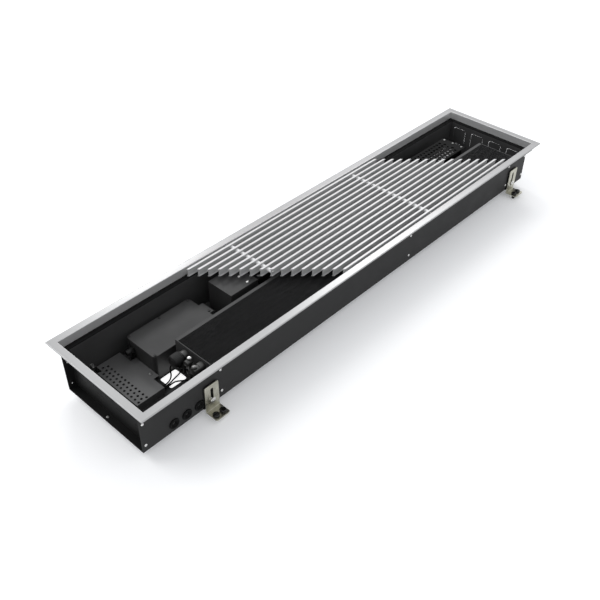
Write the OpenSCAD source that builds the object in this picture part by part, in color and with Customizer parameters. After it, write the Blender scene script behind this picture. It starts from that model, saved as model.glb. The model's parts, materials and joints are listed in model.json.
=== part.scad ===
// Trench convector heater: a long sheet steel trough for a floor channel, with a
// heat exchanger, a cross-flow fan, valves and a control box, a frame and a grille.
// X runs along the trough with the connection end at -X, Y runs across it with the
// exchanger side at -Y, and Z is up. The origin lies on the floor below the middle.

/* [Casing] */
// Length of the trough
case_length = 1300; // [1260:10:1500]
// Outer width of the trough
case_width = 230; // [215:1:260]
// Thickness of the folded steel sheet
sheet = 1.2; // [1:0.1:1.4]
// Height of the ledge above the trough's underside
ledge_height = 94; // [94:1:104]
// Width of the ledge outside the wall, up to its lip
ledge_reach = 14; // [13:0.5:18]
// Height of the lip above the ledge
lip_height = 17; // [10:0.5:17.5]
// Distance of the end plates from the trough's ends
end_recess = 17; // [16:0.5:22]
// Reach of an end plate's ledge, up to its lip
end_reach = 12.9; // [12:0.1:13.8]

/* [Frame] */
// Height of the frame's leg below the flange
frame_leg_height = 18; // [18:0.5:22]
// Thickness of the frame's leg
frame_leg_thick = 1.5; // [1.2:0.1:2]
// Width of the flange that covers the floor's edge
flange_width = 16.5; // [10:0.5:24]
// Thickness of the flange
flange_thick = 3; // [2:0.5:4]
// Chamfer along the flange's outer edge
flange_chamfer = 1; // [0.5:0.1:1.5]

/* [Grille] */
// Number of bars across the trough
bar_count = 16; // [14:1:17]
// Width of a bar's head
bar_head_width = 5; // [4:0.5:6]
// Thickness of a bar's head
bar_head_thick = 2; // [1.5:0.1:3]
// Thickness of a bar's web
bar_web = 1.6; // [1.2:0.1:2]
// Width of a bar's foot
bar_foot_width = 4; // [3:0.5:5]
// Thickness of a bar's foot
bar_foot_thick = 1.6; // [1.2:0.1:2.4]
// Where the near slanting end crosses the middle line
cut_near = -217; // [-230:1:-210]
// Where the far slanting end crosses the middle line
cut_far = 409; // [380:1:412]
// Angle of the slanting ends
cut_angle = 43.8; // [42:0.2:45]
// Distance between the two rods
rod_spread = 410; // [380:2:420]
// Diameter of a rod
rod_d = 5; // [4:0.2:5.6]
// Outer diameter of a spacer sleeve
sleeve_d = 9; // [8:0.5:10]

/* [Heat exchanger] */
// Distance from the near end plate to the fins
coil_setback = 160; // [150:1:170]
// Free length behind the exchanger's far end
coil_end_room = 46; // [40:1:60]
// Share of the inner width that the fin block takes
coil_share = 0.413; // [0.39:0.001:0.42]
// Height of the fin block's underside above the trough's
coil_low = 30; // [28:1:32]
// Distance between two fins
fin_pitch = 6; // [4:0.5:12]
// Thickness of a fin
fin_thick = 0.4; // [0.3:0.1:0.8]
// Outer diameter of the water tubes
tube_d = 12; // [10:0.2:12.4]
// Wall of the water tubes
tube_wall = 0.8; // [0.6:0.1:1.2]

/* [Fan] */
// Share of the inner width that the fan's guard takes
guard_share = 0.3076; // [0.29:0.0001:0.325]
// Space between the impeller and the sheet round it
impeller_space = 3.3; // [2.5:0.1:7]
// Number of blades
blade_count = 24; // [12:1:28]
// Diameter of the fan's shaft
shaft_d = 6; // [5:0.5:8]
// Share of the guard's width that the motor takes
motor_share = 0.743; // [0.62:0.001:0.8]
// Diameter of a hole in the guard
guard_hole_d = 7.5; // [4:0.5:8]
// Distance between the guard's holes
guard_pitch = 12; // [11:0.5:16]

/* [Control box] */
// Length of the control box
box_length = 164; // [150:1:168]
// Share of the inner width that the control box takes
box_share = 0.391; // [0.35:0.001:0.391]
// Height of the box with its lid
box_height = 60.8; // [54:0.2:64]
// Wall of the box
box_wall = 2; // [1.6:0.1:2.4]

/* [Brackets] */
// Width of a bracket
bracket_width = 35; // [32:1:44]
// Thickness of a bracket
bracket_thick = 2.5; // [2:0.1:3]
// Height of a bracket's top above the trough's underside
bracket_rise = 57; // [54:1:70]
// Reach of a bracket's foot
bracket_reach = 32; // [30:1:40]
// Drop of the foot's top below the trough's underside
foot_drop = 8; // [6:0.5:12]
// Distance from the foot's underside to the floor
screw_reach = 10; // [8:0.5:16]
// Diameter of a levelling screw's head
level_head_d = 14; // [12:0.5:15]

/* [Hidden] */
$fn = 40;
overrun = 1;
snug = 0.05;
slack = 0.3;

// levels, counted from the trough's underside
stand = foot_drop + bracket_thick + screw_reach;
frame_under = ledge_height + frame_leg_height;
frame_top = frame_under + flange_thick;
strip_thick = 2;
strip_top = ledge_height + strip_thick;

// places along and across the trough
half_length = case_length / 2;
half_width = case_width / 2;
wall_in = half_width - sheet;
inner_width = 2 * wall_in;
near_x = end_recess - half_length;
far_x = half_length - end_recess;
near_in = near_x + sheet;
far_in = far_x - sheet;

// frame: its leg stands just inside the lips
frame_gap = 0.55;
opening_half_y = half_width + ledge_reach - frame_gap - frame_leg_thick;
opening_half_x = far_x + end_reach - frame_gap - frame_leg_thick;

// screws that show outside: sheet screws with pan heads
screw_d = 3.8;
screw_head_d = 6.4;
screw_head_h = 1.9;
screw_length = 7;
screw_slot = 1;
wall_screw_low = 16.8;
wall_screw_drop = 21;
wall_screw_high = ledge_height - wall_screw_drop;
end_screw_inset = 7.5;

// knock-outs in the end plates
knockout_count = 4;
knockout_share = 0.1648;
knockout_pitch_share = 0.2474;
knockout_pitch = knockout_pitch_share * inner_width;
knockout_width = knockout_share * inner_width;
knockout_low = 34;
knockout_drop = 12;
knockout_height = ledge_height - knockout_drop - knockout_low;
knockout_slot = 0.6;
knockout_round = 6;
knockout_bridge = 9;

// cable grommets
grommet_count = 3;
grommet_first = 57.5;
grommet_pitch = 31;
grommet_z = 19.4;
grommet_d = 23;
grommet_neck_d = 18;
grommet_bore_d = 10;
grommet_lip = 2.5;

// rubber strips on the ledges
strip_inset = 0.4;

// grille
bar_edge_gap = 8.97;
bar_first = bar_edge_gap - opening_half_y;
bar_pitch = -2 * bar_first / (bar_count - 1);
bar_low = strip_top + slack;
rod_drop = 9;
rod_z = frame_top - rod_drop;
rod_end = 1.2;
rods = [-rod_spread / 2, rod_spread / 2];
rod_margin = 4;

// heat exchanger
coil_near = near_x + coil_setback;
coil_far = far_x - coil_end_room;
coil_side_gap = 5.8;
coil_depth = coil_share * inner_width;
coil_front = coil_side_gap - wall_in;
coil_back = coil_front + coil_depth;
coil_mid = (coil_front + coil_back) / 2;
coil_drop = 2;
coil_top = ledge_height - coil_drop;
coil_height = coil_top - coil_low;
cheek = 1.5;
rim_width = 8;
rim_drop = 20;
rim_back = coil_back + rim_width;
top_tube_spread = coil_depth / 2;
low_tube_spread = 16;
top_tube_share = 0.726;
low_tube_share = 0.274;
top_tube_z = coil_low + top_tube_share * coil_height;
low_tube_z = coil_low + low_tube_share * coil_height;
tube_tail = 4;
tube_r = tube_d / 2;
supply_y = coil_mid + top_tube_spread / 2;
return_y = coil_mid - top_tube_spread / 2;
tube_places = [
    [supply_y, top_tube_z],
    [return_y, top_tube_z],
    [coil_mid + low_tube_spread / 2, low_tube_z],
    [coil_mid - low_tube_spread / 2, low_tube_z]
];

// holders under the exchanger, as shares of its length
holder_shares = [0.0156, 0.579, 0.9797];
holder_width = 24;
holder_thick = 1.5;
holder_low = 8;
holder_drop = 12;
holder_high = ledge_height - holder_drop;
holders = [for (s = holder_shares) coil_near + s * (coil_far - coil_near)];

// valves
valve_gap = 0.5;
valve_length = 11;
valve_d = 20;
port_d = 18.6;
port_bore_d = 15;
port_drop = 25;
port_low = top_tube_z - port_drop;
port_depth = 9;
channel_d = 7;
valve_x = coil_near - valve_gap;
valve_end = valve_x - valve_length;
port_x = valve_x - port_d / 2;
nut_d = 24;
nut_length = 4;
actuator_d = 28;
actuator_length = 20;
actuator_round = 3;
pin_d = 3;
pin_out = 9;
pin_in = 3;
pin_stroke = 3;
bonnet_d = 17;
bonnet_length = 14;
spindle_d = 5;
spindle_head_d = 7;
spindle_head_h = 2;
spindle_boss_d = 10;
spindle_boss_h = 3;
spindle_depth = 7;
spindle_in = 9;
vent_share = 0.277;
vent_d = vent_share * top_tube_spread;
vent_length = 20;
vent_tube_d = 8;
vent_rise = coil_height / 2;
spindle_x = valve_end - spindle_in;

// control box
box_setback = 116.5;
box_near = near_x + box_setback;
box_far = box_near + box_length;
box_width = box_share * inner_width;
box_rear_gap = 16.8;
box_back = wall_in - box_rear_gap;
box_front = box_back - box_width;
box_mid = (box_front + box_back) / 2;
box_round = 8;
box_top = sheet + box_height;
lid_thick = 2;
lid_seat = box_top - lid_thick;
lid_inset_x = 6;
lid_inset_y = 4.5;
boss_d = 8;
box_screw_d = 3;
ear_reach = 10.5;
ear_width = 35;
ear_shift = -6;
ear_thick = 2;
ear_screw_in = 7.4;
ear_screw_side = 6.2;
ear_y = box_mid + ear_shift - ear_width / 2;
ear_screw_x = box_far + ear_reach - ear_screw_in;
gland_z = 38.8;
gland_inset = 20;
gland_d = 17;
gland_nut_length = 8;
gland_dome_d = 14;
gland_length = 18;
gland_neck_d = 12;
gland_bore_d = 7;
gland_nut_in = 5;
board_margin = 11;
board_thick = 1.6;
board_rise = 7;
post_d = 7;
post_inset = 16;
post_hole_d = 3.2;

// perforated cover plate over the terminals
plate_height = 21;
plate_far = 103;
plate_front_gap = 41;
plate_rear_gap = 5.8;
plate_x0 = near_in + slack;
plate_x1 = near_x + plate_far;
plate_y0 = box_front - plate_front_gap;
plate_y1 = wall_in - plate_rear_gap;
notch_length = 44.5;
notch_width = 16;
plate_holes = 12;
plate_hole_d = 5;
plate_hole_end = 5.1;
plate_row_spacing = 9.5;
plate_row_first = 42.5;
plate_hole_edge = 15.7;
plate_hole_pitch = (plate_y1 - plate_y0 - plate_hole_edge - plate_hole_end) / (plate_holes - 1);
tab_reach = 13.2;
tab_from = 33;
tab_width = 72;
tab_screw_in = 4;
tab_screw_side = 15;
tab_screw_x = plate_x1 + tab_screw_in;
tab_screw_y = plate_y0 + tab_from + tab_screw_side;

// earth bolt on the rear wall
earth_in = 39;
earth_z = 24;
earth_d = 6;
earth_nut_d = 11.5;
earth_nut_h = 5;
earth_length = 9;
washer_d = 13;
washer_thick = 1.2;

// blank label on the floor
label_in = 121;
label_length = 40;
label_width = 35;
label_gap = 2;
label_thick = 0.3;
label_round = 4;

// terminal strip under the cover plate
terminal_in = 58;
terminal_length = 30;
terminal_width = 60;
terminal_height = 14;
terminal_front = 33.8;
terminal_count = 6;
terminal_hole_d = 4;
terminal_depth = 6;

// fan
fan_gap = 14;
guard_width = guard_share * inner_width;
fan_front = rim_back + fan_gap;
fan_back = fan_front + guard_width;
fan_mid = (fan_front + fan_back) / 2;
fan_drop = 2;
fan_axis_drop = 35;
fan_top = ledge_height - fan_drop;
fan_axis_z = fan_top - fan_axis_drop;
cover_in = 323.5;
cover_length = 77.5;
cover_x0 = near_x + cover_in;
fan_near = cover_x0 + cover_length;
fan_plate = 1.5;
guard_end_in = 93;
guard_end = far_x - guard_end_in;
guard_flange = 15;
fan_far = guard_end - guard_flange;
guard_drop = 22;
guard_rows = 5;
guard_edge = 8;
guard_screw_in = 5.5;
guard_screw_spread = 54;
scroll_r = guard_width / 2 - 2 * sheet - slack;
impeller_r = scroll_r - impeller_space;
motor_d = motor_share * guard_width;
scroll_tip = 1;
cover_low = 20;
cover_flange = 28;
cover_screw_in = 22;
cover_screw_side = 11.4;
cover_screw_pitch = 25.2;
cover_hole_in = 9;
cover_hole_d = 6;
cover_shift = 1.5;
motor_length = 52;
motor_cap_d = 30;
motor_cap_length = 8;
motor_boss_d = 16;
disc_thick = 1.6;
disc_count = 9;
disc_ring = 9;
hub_d = 14;
hub_length = 8;
blade_thick = 0.9;
blade_angle = 30;
blade_root_share = 0.75;
blade_chord_share = 0.25;
impeller_gap = 6;
bearing_d = 18;
bearing_length = 7;
shaft_in = 16;
shaft_tail = 5;

// brackets
bracket_near_in = 148.5;
bracket_far_in = 44;
bracket_places = [near_x + bracket_near_in, far_x - bracket_far_in];
pad_thick = 2;
pad_width = 30;
pad_low = 0.5;
pad_high = 52;
pad_foot_width = 41;
pad_foot_height = 5.5;
bracket_y = half_width + pad_thick + slack;
bracket_round = 4;
slot_width = 6.5;
slot_low = 7;
slot_high = 47;
clamp_z = 17;
clamp_d = 6;
clamp_head_d = 11;
clamp_head_h = 3.4;
clamp_nut_d = 11;
clamp_nut_h = 4;
level_d = 8;
level_spread = 17.2;
level_in = 11.8;
level_head_h = 4;
level_slot = 1.6;
level_y = bracket_y + bracket_reach - level_in;

// cables: they start side by side at the terminals, then each runs to its own end
cable_r = 1.5;
cable_sides = 8;
cable_steps = 5;
function set_at(o, points) = [for (p = points) o + p];
floor_at = [near_x, box_front, 0];
actuator_at = [valve_end, supply_y, top_tube_z];
bend_at = [coil_near - tube_tail - low_tube_spread / 2, coil_mid, low_tube_z];
motor_at = [fan_near, fan_mid, fan_axis_z];
actuator_start = [
    [88.4, -18, 8], [96, -19, 7], [103, -21.6, 6.5], [112, -24.8, 7], [119, -25.8, 8],
    [125, -25.6, 9.5], [130, -25.4, 14], [132.4, -25.6, 22]
];
actuator_end = [
    [-16.5, 19.5, -43], [-16.9, 18.9, -33], [-16.1, 16.5, -25.5], [-14.7, 12.1, -21.4],
    [-13.7, 6.5, -20], [-12.7, 1.1, -20], [-11.8, -3.1, -19.4], [-11, -5.5, -17.7],
    [-10.5, -6.5, -13]
];
actuator_cable = concat(set_at(floor_at, actuator_start), set_at(actuator_at, actuator_end));
motor_start = [
    [88.4, -24, 8], [96, -24.6, 7], [103, -26.6, 6.2], [112, -29, 6.6], [119, -29.7, 7.4],
    [127, -29.1, 8.2], [135.2, -26.9, 8.2], [145.7, -24.6, 8], [156.3, -21.6, 7.6],
    [163.5, -17.2, 6.6], [171, -14, 5.6], [181, -12.2, 4.4], [203, -11, 3.4], [238, -9.6, 3.2],
    [271, -9, 3.2], [298, -8.4, 3.2]
];
motor_end = [
    [-87, -40, -53.6], [-82.6, -29, -53.4], [-81.2, -15, -52.6], [-77, -4, -48], [-70.6, 0, -36],
    [-66, 0, -24], [-64, 0, -15.2]
];
motor_cable = concat(set_at(floor_at, motor_start), set_at(motor_at, motor_end));
sensor_start = [
    [88.4, -30, 8], [96, -30.4, 7], [103, -31.4, 6], [112, -32.6, 6.4], [119, -33.2, 7.2],
    [127, -33.2, 8], [134, -34, 8], [139.5, -37, 8], [145, -41.2, 8], [150.4, -46, 8.4]
];
sensor_end = [
    [5.4, 16, -37], [5, 8, -32], [1.6, 2, -22], [0, 0, -13], [0, 0, -6.6]
];
sensor_cable = concat(set_at(floor_at, sensor_start), set_at(bend_at, sensor_end));

// shared shapes

module raised() {
    translate([0, 0, stand]) children();
}

module block(x, y, z) {
    translate([x[0], y[0], z[0]]) cube([x[1] - x[0], y[1] - y[0], z[1] - z[0]]);
}

module along_x(x0, x1) {
    translate([x0, 0, 0]) rotate([90, 0, 90]) linear_extrude(x1 - x0) children();
}

module peg_x(x0, x1, y, z, r) {
    translate([x0, y, z]) rotate([0, 90, 0]) cylinder(h = x1 - x0, r = r);
}

module peg_y(y0, y1, x, z, r) {
    translate([x, y0, z]) rotate([-90, 0, 0]) cylinder(h = y1 - y0, r = r);
}

module peg_z(z0, z1, x, y, r) {
    translate([x, y, z0]) cylinder(h = z1 - z0, r = r);
}

module hex_x(x0, x1, y, z, r) {
    translate([x0, y, z]) rotate([0, 90, 0]) cylinder(h = x1 - x0, r = r, $fn = 6);
}

module hex_y(y0, y1, x, z, r) {
    translate([x, y0, z]) rotate([-90, 0, 0]) cylinder(h = y1 - y0, r = r, $fn = 6);
}

// rectangle with its lower corner at the origin and its corners rounded
module rounded(w, h, r) {
    translate([r, 0]) square([w - 2 * r, h]);
    translate([0, r]) square([w, h - 2 * r]);
    for (x = [r, w - r], y = [r, h - r]) translate([x, y]) circle(r = r);
}

// pan head on the plane z = 0 with its shank below and a driver slot across
module pan_screw(head_d, head_h, shank_d, shank_l) {
    difference() {
        union() {
            cylinder(h = head_h / 2, r = head_d / 2);
            translate([0, 0, head_h / 2])
                cylinder(h = head_h / 2, r1 = head_d / 2, r2 = head_d / 2 - head_h / 2);
            translate([0, 0, -shank_l]) cylinder(h = shank_l + head_h / 2, r = shank_d / 2);
        }
        translate([-head_d, -screw_slot / 2, head_h / 2]) cube([2 * head_d, screw_slot, head_h]);
    }
}

module sheet_screw() {
    pan_screw(screw_head_d, screw_head_h, screw_d, screw_length);
}

// places of the screws in the long walls
function wall_screw_x() = concat([end_screw_inset - half_length], holders, [half_length - end_screw_inset]);

// x of the slanting ends of a bar at y
function near_end(y) = cut_near - y * tan(cut_angle);
function far_end(y) = cut_far - y * tan(cut_angle);
function bar_y(i) = bar_first + i * bar_pitch;
function holds(i, x) = near_end(bar_y(i)) + rod_margin < x && x < far_end(bar_y(i)) - rod_margin;

// casing

module casing_trough() {
    out = half_width + ledge_reach + sheet;
    lip_top = ledge_height + lip_height;
    side = [[half_width, 0], [half_width, ledge_height - sheet], [out, ledge_height - sheet],
        [out, lip_top], [out - sheet, lip_top], [out - sheet, ledge_height],
        [wall_in, ledge_height], [wall_in, sheet]];
    other = [for (i = [len(side) - 1 : -1 : 0]) [-side[i][0], side[i][1]]];
    color("#2b2b2b") raised() difference() {
        along_x(-half_length, half_length) polygon(concat(side, other));
        for (x = wall_screw_x(), z = [wall_screw_low, wall_screw_high]) {
            peg_y(-half_width - overrun, -wall_in + overrun, x, z, screw_d / 2 + snug);
        }
        for (x = [end_screw_inset - half_length, half_length - end_screw_inset]) {
            for (z = [wall_screw_low, wall_screw_high]) {
                peg_y(wall_in - overrun, half_width + overrun, x, z, screw_d / 2 + snug);
            }
            peg_z(-overrun, sheet + overrun, x, 0, screw_d / 2 + snug);
        }
        for (i = [0 : grommet_count - 1]) {
            x = near_x + grommet_first + i * grommet_pitch;
            peg_y(-half_width - overrun, -wall_in + overrun, x, grommet_z, grommet_neck_d / 2 + snug);
        }
        for (x = bracket_places) {
            peg_y(-half_width - overrun, -wall_in + overrun, x, clamp_z, clamp_d / 2 + snug);
            peg_y(wall_in - overrun, half_width + overrun, x, clamp_z, clamp_d / 2 + snug);
        }
        peg_y(wall_in - overrun, half_width + overrun, near_x + earth_in, earth_z, earth_d / 2 + snug);
    }
}

// one knock-out: a slot round a panel that two bridges hold at its foot
module knockout_outline() {
    difference() {
        rounded(knockout_width, knockout_height, knockout_round);
        translate([knockout_slot, knockout_slot]) rounded(
            knockout_width - 2 * knockout_slot, knockout_height - 2 * knockout_slot,
            knockout_round - knockout_slot);
        translate([-overrun, -overrun]) square([knockout_bridge + overrun, knockout_bridge + overrun]);
        translate([knockout_width - knockout_bridge, -overrun])
            square([knockout_bridge + overrun, knockout_bridge + overrun]);
    }
}

// the near end plate; the far one is its mirror image
module end_plate() {
    w = wall_in - snug;
    screw_x = end_screw_inset - half_length;
    ledge_out = near_x - end_reach;
    difference() {
        union() {
            block([near_x, near_in], [-w, w], [sheet, ledge_height]);
            block([-half_length, near_in], [-w, w], [sheet, 2 * sheet]);
            block([ledge_out - sheet, near_in], [-w, w], [ledge_height - sheet, ledge_height]);
            block([ledge_out - sheet, ledge_out], [-w, w], [ledge_height - sheet, ledge_height + lip_height]);
            for (s = [-1, 1]) {
                block([-half_length, near_in], [s * w - (s + 1) * sheet / 2, s * w - (s - 1) * sheet / 2],
                    [sheet, ledge_height - 2 * sheet]);
            }
        }
        for (i = [0 : knockout_count - 1]) {
            y = (i - (knockout_count - 1) / 2) * knockout_pitch - knockout_width / 2;
            along_x(near_x - overrun, near_in + overrun) translate([y, knockout_low]) knockout_outline();
        }
        peg_z(0, 2 * sheet + overrun, screw_x, 0, screw_d / 2 + snug);
        for (z = [wall_screw_low, wall_screw_high]) {
            peg_y(-half_width, -wall_in + sheet + overrun, screw_x, z, screw_d / 2 + snug);
            peg_y(wall_in - sheet - overrun, half_width, screw_x, z, screw_d / 2 + snug);
        }
    }
}

module end_plate_near() {
    color("#262626") raised() end_plate();
}

module end_plate_far() {
    color("#262626") raised() mirror([1, 0, 0]) end_plate();
}

// frame: an angle with the flange on top, cut to mitres at its ends

module frame_angle(length, mid) {
    c = flange_chamfer;
    profile = [[mid, ledge_height], [mid + frame_leg_thick, ledge_height],
        [mid + frame_leg_thick, frame_under], [mid + flange_width, frame_under],
        [mid + flange_width, frame_top - c], [mid + flange_width - c, frame_top], [mid, frame_top]];
    reach = flange_width + overrun;
    difference() {
        along_x(-length - flange_width, length + flange_width) polygon(profile);
        for (s = [-1, 1]) {
            translate([s * length, mid, ledge_height - overrun])
                linear_extrude(frame_top - ledge_height + 2 * overrun) polygon([
                    [-s * overrun, -overrun], [s * reach, reach], [s * (reach + overrun), -overrun]
                ]);
        }
    }
}

module frame_front() {
    color("#d6d6d6") raised() mirror([0, 1, 0]) frame_angle(opening_half_x, opening_half_y);
}

module frame_rear() {
    color("#d6d6d6") raised() frame_angle(opening_half_x, opening_half_y);
}

module frame_near() {
    color("#d6d6d6") raised() rotate([0, 0, 90]) frame_angle(opening_half_y, opening_half_x);
}

module frame_far() {
    color("#d6d6d6") raised() rotate([0, 0, -90]) frame_angle(opening_half_y, opening_half_x);
}

module ledge_strips() {
    x_in = far_in + strip_inset;
    x_out = opening_half_x - strip_inset;
    y_in = wall_in + strip_inset;
    y_out = opening_half_y - strip_inset;
    y_end = wall_in - strip_inset;
    color("#161616") raised() {
        for (m = [0, 1]) {
            mirror([0, m, 0]) block([-x_out, x_out], [y_in, y_out], [ledge_height, strip_top]);
            mirror([m, 0, 0]) block([x_in, x_out], [-y_end, y_end], [ledge_height, strip_top]);
        }
    }
}

// grille

module bar_profile() {
    translate([-bar_head_width / 2, frame_top - bar_head_thick]) square([bar_head_width, bar_head_thick]);
    translate([-bar_web / 2, bar_low]) square([bar_web, frame_top - bar_low]);
    translate([-bar_foot_width / 2, bar_low]) square([bar_foot_width, bar_foot_thick]);
}

// the bars fill a slanting field, so every end follows the same cut
module grille_bars() {
    y = opening_half_y;
    color("#c9c9c9") raised() difference() {
        intersection() {
            for (i = [0 : bar_count - 1]) {
                along_x(near_end(y), far_end(-y)) translate([bar_y(i), 0]) bar_profile();
            }
            translate([0, 0, bar_low - overrun]) linear_extrude(frame_top - bar_low + 2 * overrun)
                polygon([[near_end(y), y], [near_end(-y), -y], [far_end(-y), -y], [far_end(y), y]]);
        }
        for (x = rods) peg_y(-y, y, x, rod_z, rod_d / 2 + snug);
    }
}

module grille_rods() {
    color("#d8d8d8") raised() for (x = rods) {
        held = [for (i = [0 : bar_count - 1]) if (holds(i, x)) bar_y(i)];
        peg_y(min(held) - bar_web / 2 - rod_end, max(held) + bar_web / 2 + rod_end, x, rod_z, rod_d / 2);
    }
}

module grille_sleeves() {
    color("#e4e4e4") raised() for (x = rods, i = [0 : bar_count - 2]) {
        if (holds(i, x) && holds(i + 1, x)) difference() {
            peg_y(bar_y(i) + bar_web / 2, bar_y(i + 1) - bar_web / 2, x, rod_z, sleeve_d / 2);
            peg_y(bar_y(i), bar_y(i + 1), x, rod_z, rod_d / 2 + snug);
        }
    }
}

// heat exchanger

module tube_holes(r) {
    for (p = tube_places) translate(p) circle(r = r);
}

module fins() {
    first = coil_near + cheek + fin_pitch / 2;
    count = floor((coil_far - cheek - fin_pitch / 2 - first) / fin_pitch);
    color("#1f1f1f") raised() for (i = [0 : count]) {
        along_x(first + i * fin_pitch, first + i * fin_pitch + fin_thick) difference() {
            translate([coil_front, coil_low]) square([coil_depth, coil_height]);
            tube_holes(tube_r + snug);
        }
    }
}

module ring(r, wall) {
    difference() {
        circle(r = r);
        circle(r = r - wall);
    }
}

// rod of radius r from p along the trough, round a bend behind the far cheek and back at q
module hairpin_rod(p, q, r, more) {
    gap = norm(q - p);
    mid = (p + q) / 2;
    turn = atan2(q[1] - p[1], q[0] - p[0]);
    bend_x = coil_far + tube_tail;
    near = coil_near - tube_tail - more;
    for (s = [-1, 1]) along_x(near, bend_x) translate(mid) rotate(turn) translate([s * gap / 2, 0])
        rotate(s * 90 - 90) circle(r = r);
    translate([bend_x, mid[0], mid[1]]) rotate([turn, 0, 0]) rotate([0, 0, -90])
        rotate_extrude(angle = 180) translate([gap / 2, 0]) circle(r = r);
}

module hairpin(p, q) {
    difference() {
        hairpin_rod(p, q, tube_r, 0);
        hairpin_rod(p, q, tube_r - tube_wall, overrun);
    }
}

module hairpin_tubes() {
    color("#1c1c1c") raised() {
        hairpin(tube_places[0], tube_places[2]);
        hairpin(tube_places[1], tube_places[3]);
    }
}

module return_bend() {
    x = coil_near - tube_tail;
    color("#1c1c1c") raised() translate([x, coil_mid, low_tube_z]) rotate([0, 0, 90])
        rotate_extrude(angle = 180) translate([low_tube_spread / 2, 0]) ring(tube_r, tube_wall);
}

module coil_cheeks() {
    color("#4a4a4a") raised() for (x = [coil_near, coil_far - cheek]) {
        along_x(x, x + cheek) difference() {
            translate([coil_front, coil_low]) square([coil_depth + rim_width, coil_height]);
            tube_holes(tube_r + snug);
        }
    }
}

module rim_plate() {
    span = [coil_near + cheek, coil_far - cheek];
    color("#505050") raised() {
        block(span, [coil_back, rim_back], [coil_top - sheet, coil_top]);
        block(span, [rim_back - sheet, rim_back], [coil_top - rim_drop, coil_top]);
    }
}

module coil_holders() {
    t = holder_thick;
    color("#3a3a3a") raised() for (x = holders) difference() {
        span = [x - holder_width / 2, x + holder_width / 2];
        union() {
            block(span, [-wall_in, t - wall_in], [holder_low, holder_high]);
            block(span, [-wall_in, coil_back], [coil_low - t, coil_low]);
            block(span, [coil_back - t, coil_back], [sheet, coil_low]);
        }
        for (z = [wall_screw_low, wall_screw_high]) {
            peg_y(-half_width, t - wall_in + overrun, x, z, screw_d / 2 + snug);
        }
    }
}

// angle valve: a socket on the tube, a chamber, and a threaded port that looks down
module valve_body(y) {
    z = top_tube_z;
    port_top = z - actuator_d / 2 - slack;
    difference() {
        union() {
            peg_x(valve_end, valve_x, y, z, valve_d / 2);
            peg_z(port_low, port_top, port_x, y, port_d / 2);
            block([valve_end, valve_x], [y - valve_d / 3, y + valve_d / 3], [port_low + port_depth, z]);
        }
        peg_x(coil_near - tube_tail - snug, valve_x + overrun, y, z, tube_r + snug);
        peg_x((valve_end + valve_x) / 2, valve_x, y, z, channel_d / 2);
        peg_z(port_low - overrun, port_low + port_depth, port_x, y, port_bore_d / 2);
        peg_z(port_low, z, (valve_end + valve_x) / 2, y, channel_d / 2);
    }
}

module supply_valve() {
    color("#8d8f90") raised() difference() {
        valve_body(supply_y);
        peg_x(valve_end - overrun, valve_x - valve_length / 2, supply_y, top_tube_z, pin_d / 2 + snug);
    }
}

module valve_actuator() {
    x0 = valve_end - nut_length - actuator_length;
    color("#444444") raised() difference() {
        union() {
            hex_x(valve_end - nut_length, valve_end, supply_y, top_tube_z, nut_d / 2);
            peg_x(x0 + actuator_round, valve_end - nut_length, supply_y, top_tube_z, actuator_d / 2);
            translate([x0 + actuator_round, supply_y, top_tube_z]) rotate([0, -90, 0])
                cylinder(h = actuator_round, r1 = actuator_d / 2, r2 = actuator_d / 2 - actuator_round);
        }
        peg_x(valve_end - pin_out - pin_stroke, valve_end + overrun, supply_y, top_tube_z, pin_d / 2 + snug);
    }
}

module actuator_pin() {
    color("#c8c8c8") raised()
        peg_x(valve_end - pin_out, valve_end + pin_in, supply_y, top_tube_z, pin_d / 2);
}

module return_valve() {
    x0 = valve_end - bonnet_length;
    boss_z = top_tube_z + bonnet_d / 2 + spindle_boss_h;
    color("#9a9c9d") raised() difference() {
        union() {
            valve_body(return_y);
            peg_x(x0, valve_end, return_y, top_tube_z, bonnet_d / 2);
            peg_z(top_tube_z, boss_z, spindle_x, return_y, spindle_boss_d / 2);
        }
        peg_z(boss_z - spindle_depth - slack, boss_z + overrun, spindle_x, return_y, spindle_d / 2 + snug);
    }
}

module turn_screw(x, y, z) {
    translate([x, y, z + snug]) pan_screw(spindle_head_d, spindle_head_h, spindle_d, spindle_depth);
}

module return_spindle() {
    color("#e6e6e6") raised()
        turn_screw(spindle_x, return_y, top_tube_z + bonnet_d / 2 + spindle_boss_h);
}

// the vent stands on the return bend and lies along the trough
module air_vent() {
    bend = coil_near - tube_tail - low_tube_spread / 2;
    vent_z = low_tube_z + vent_rise;
    boss_z = vent_z + vent_d / 2 + spindle_boss_h;
    color("#777777") raised() difference() {
        union() {
            peg_z(low_tube_z + tube_r + snug, vent_z, bend, coil_mid, vent_tube_d / 2);
            peg_x(bend - vent_length / 2, bend + tube_tail, coil_mid, vent_z, vent_d / 2);
            peg_z(vent_z, boss_z, bend, coil_mid, spindle_boss_d / 2);
        }
        peg_z(boss_z - spindle_depth - slack, boss_z + overrun, bend, coil_mid, spindle_d / 2 + snug);
    }
}

module vent_screw() {
    bend = coil_near - tube_tail - low_tube_spread / 2;
    color("#e6e6e6") raised()
        turn_screw(bend, coil_mid, low_tube_z + vent_rise + vent_d / 2 + spindle_boss_h);
}

// control box

module box_screw_places() {
    xs = [box_near + lid_inset_x, (box_near + box_far) / 2, box_far - lid_inset_x];
    for (x = xs, y = [box_front + lid_inset_y, box_back - lid_inset_y]) translate([x, y, 0]) children();
}

module ear(z0, z1) {
    difference() {
        block([box_far - overrun, box_far + ear_reach], [ear_y, ear_y + ear_width], [z0, z1]);
        peg_z(z0 - overrun, z1 + overrun, ear_screw_x, ear_y + ear_screw_side, box_screw_d / 2 + snug);
    }
}

module box_outline(inset) {
    translate([box_near + inset, box_front + inset])
        rounded(box_length - 2 * inset, box_width - 2 * inset, box_round - inset);
}

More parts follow.
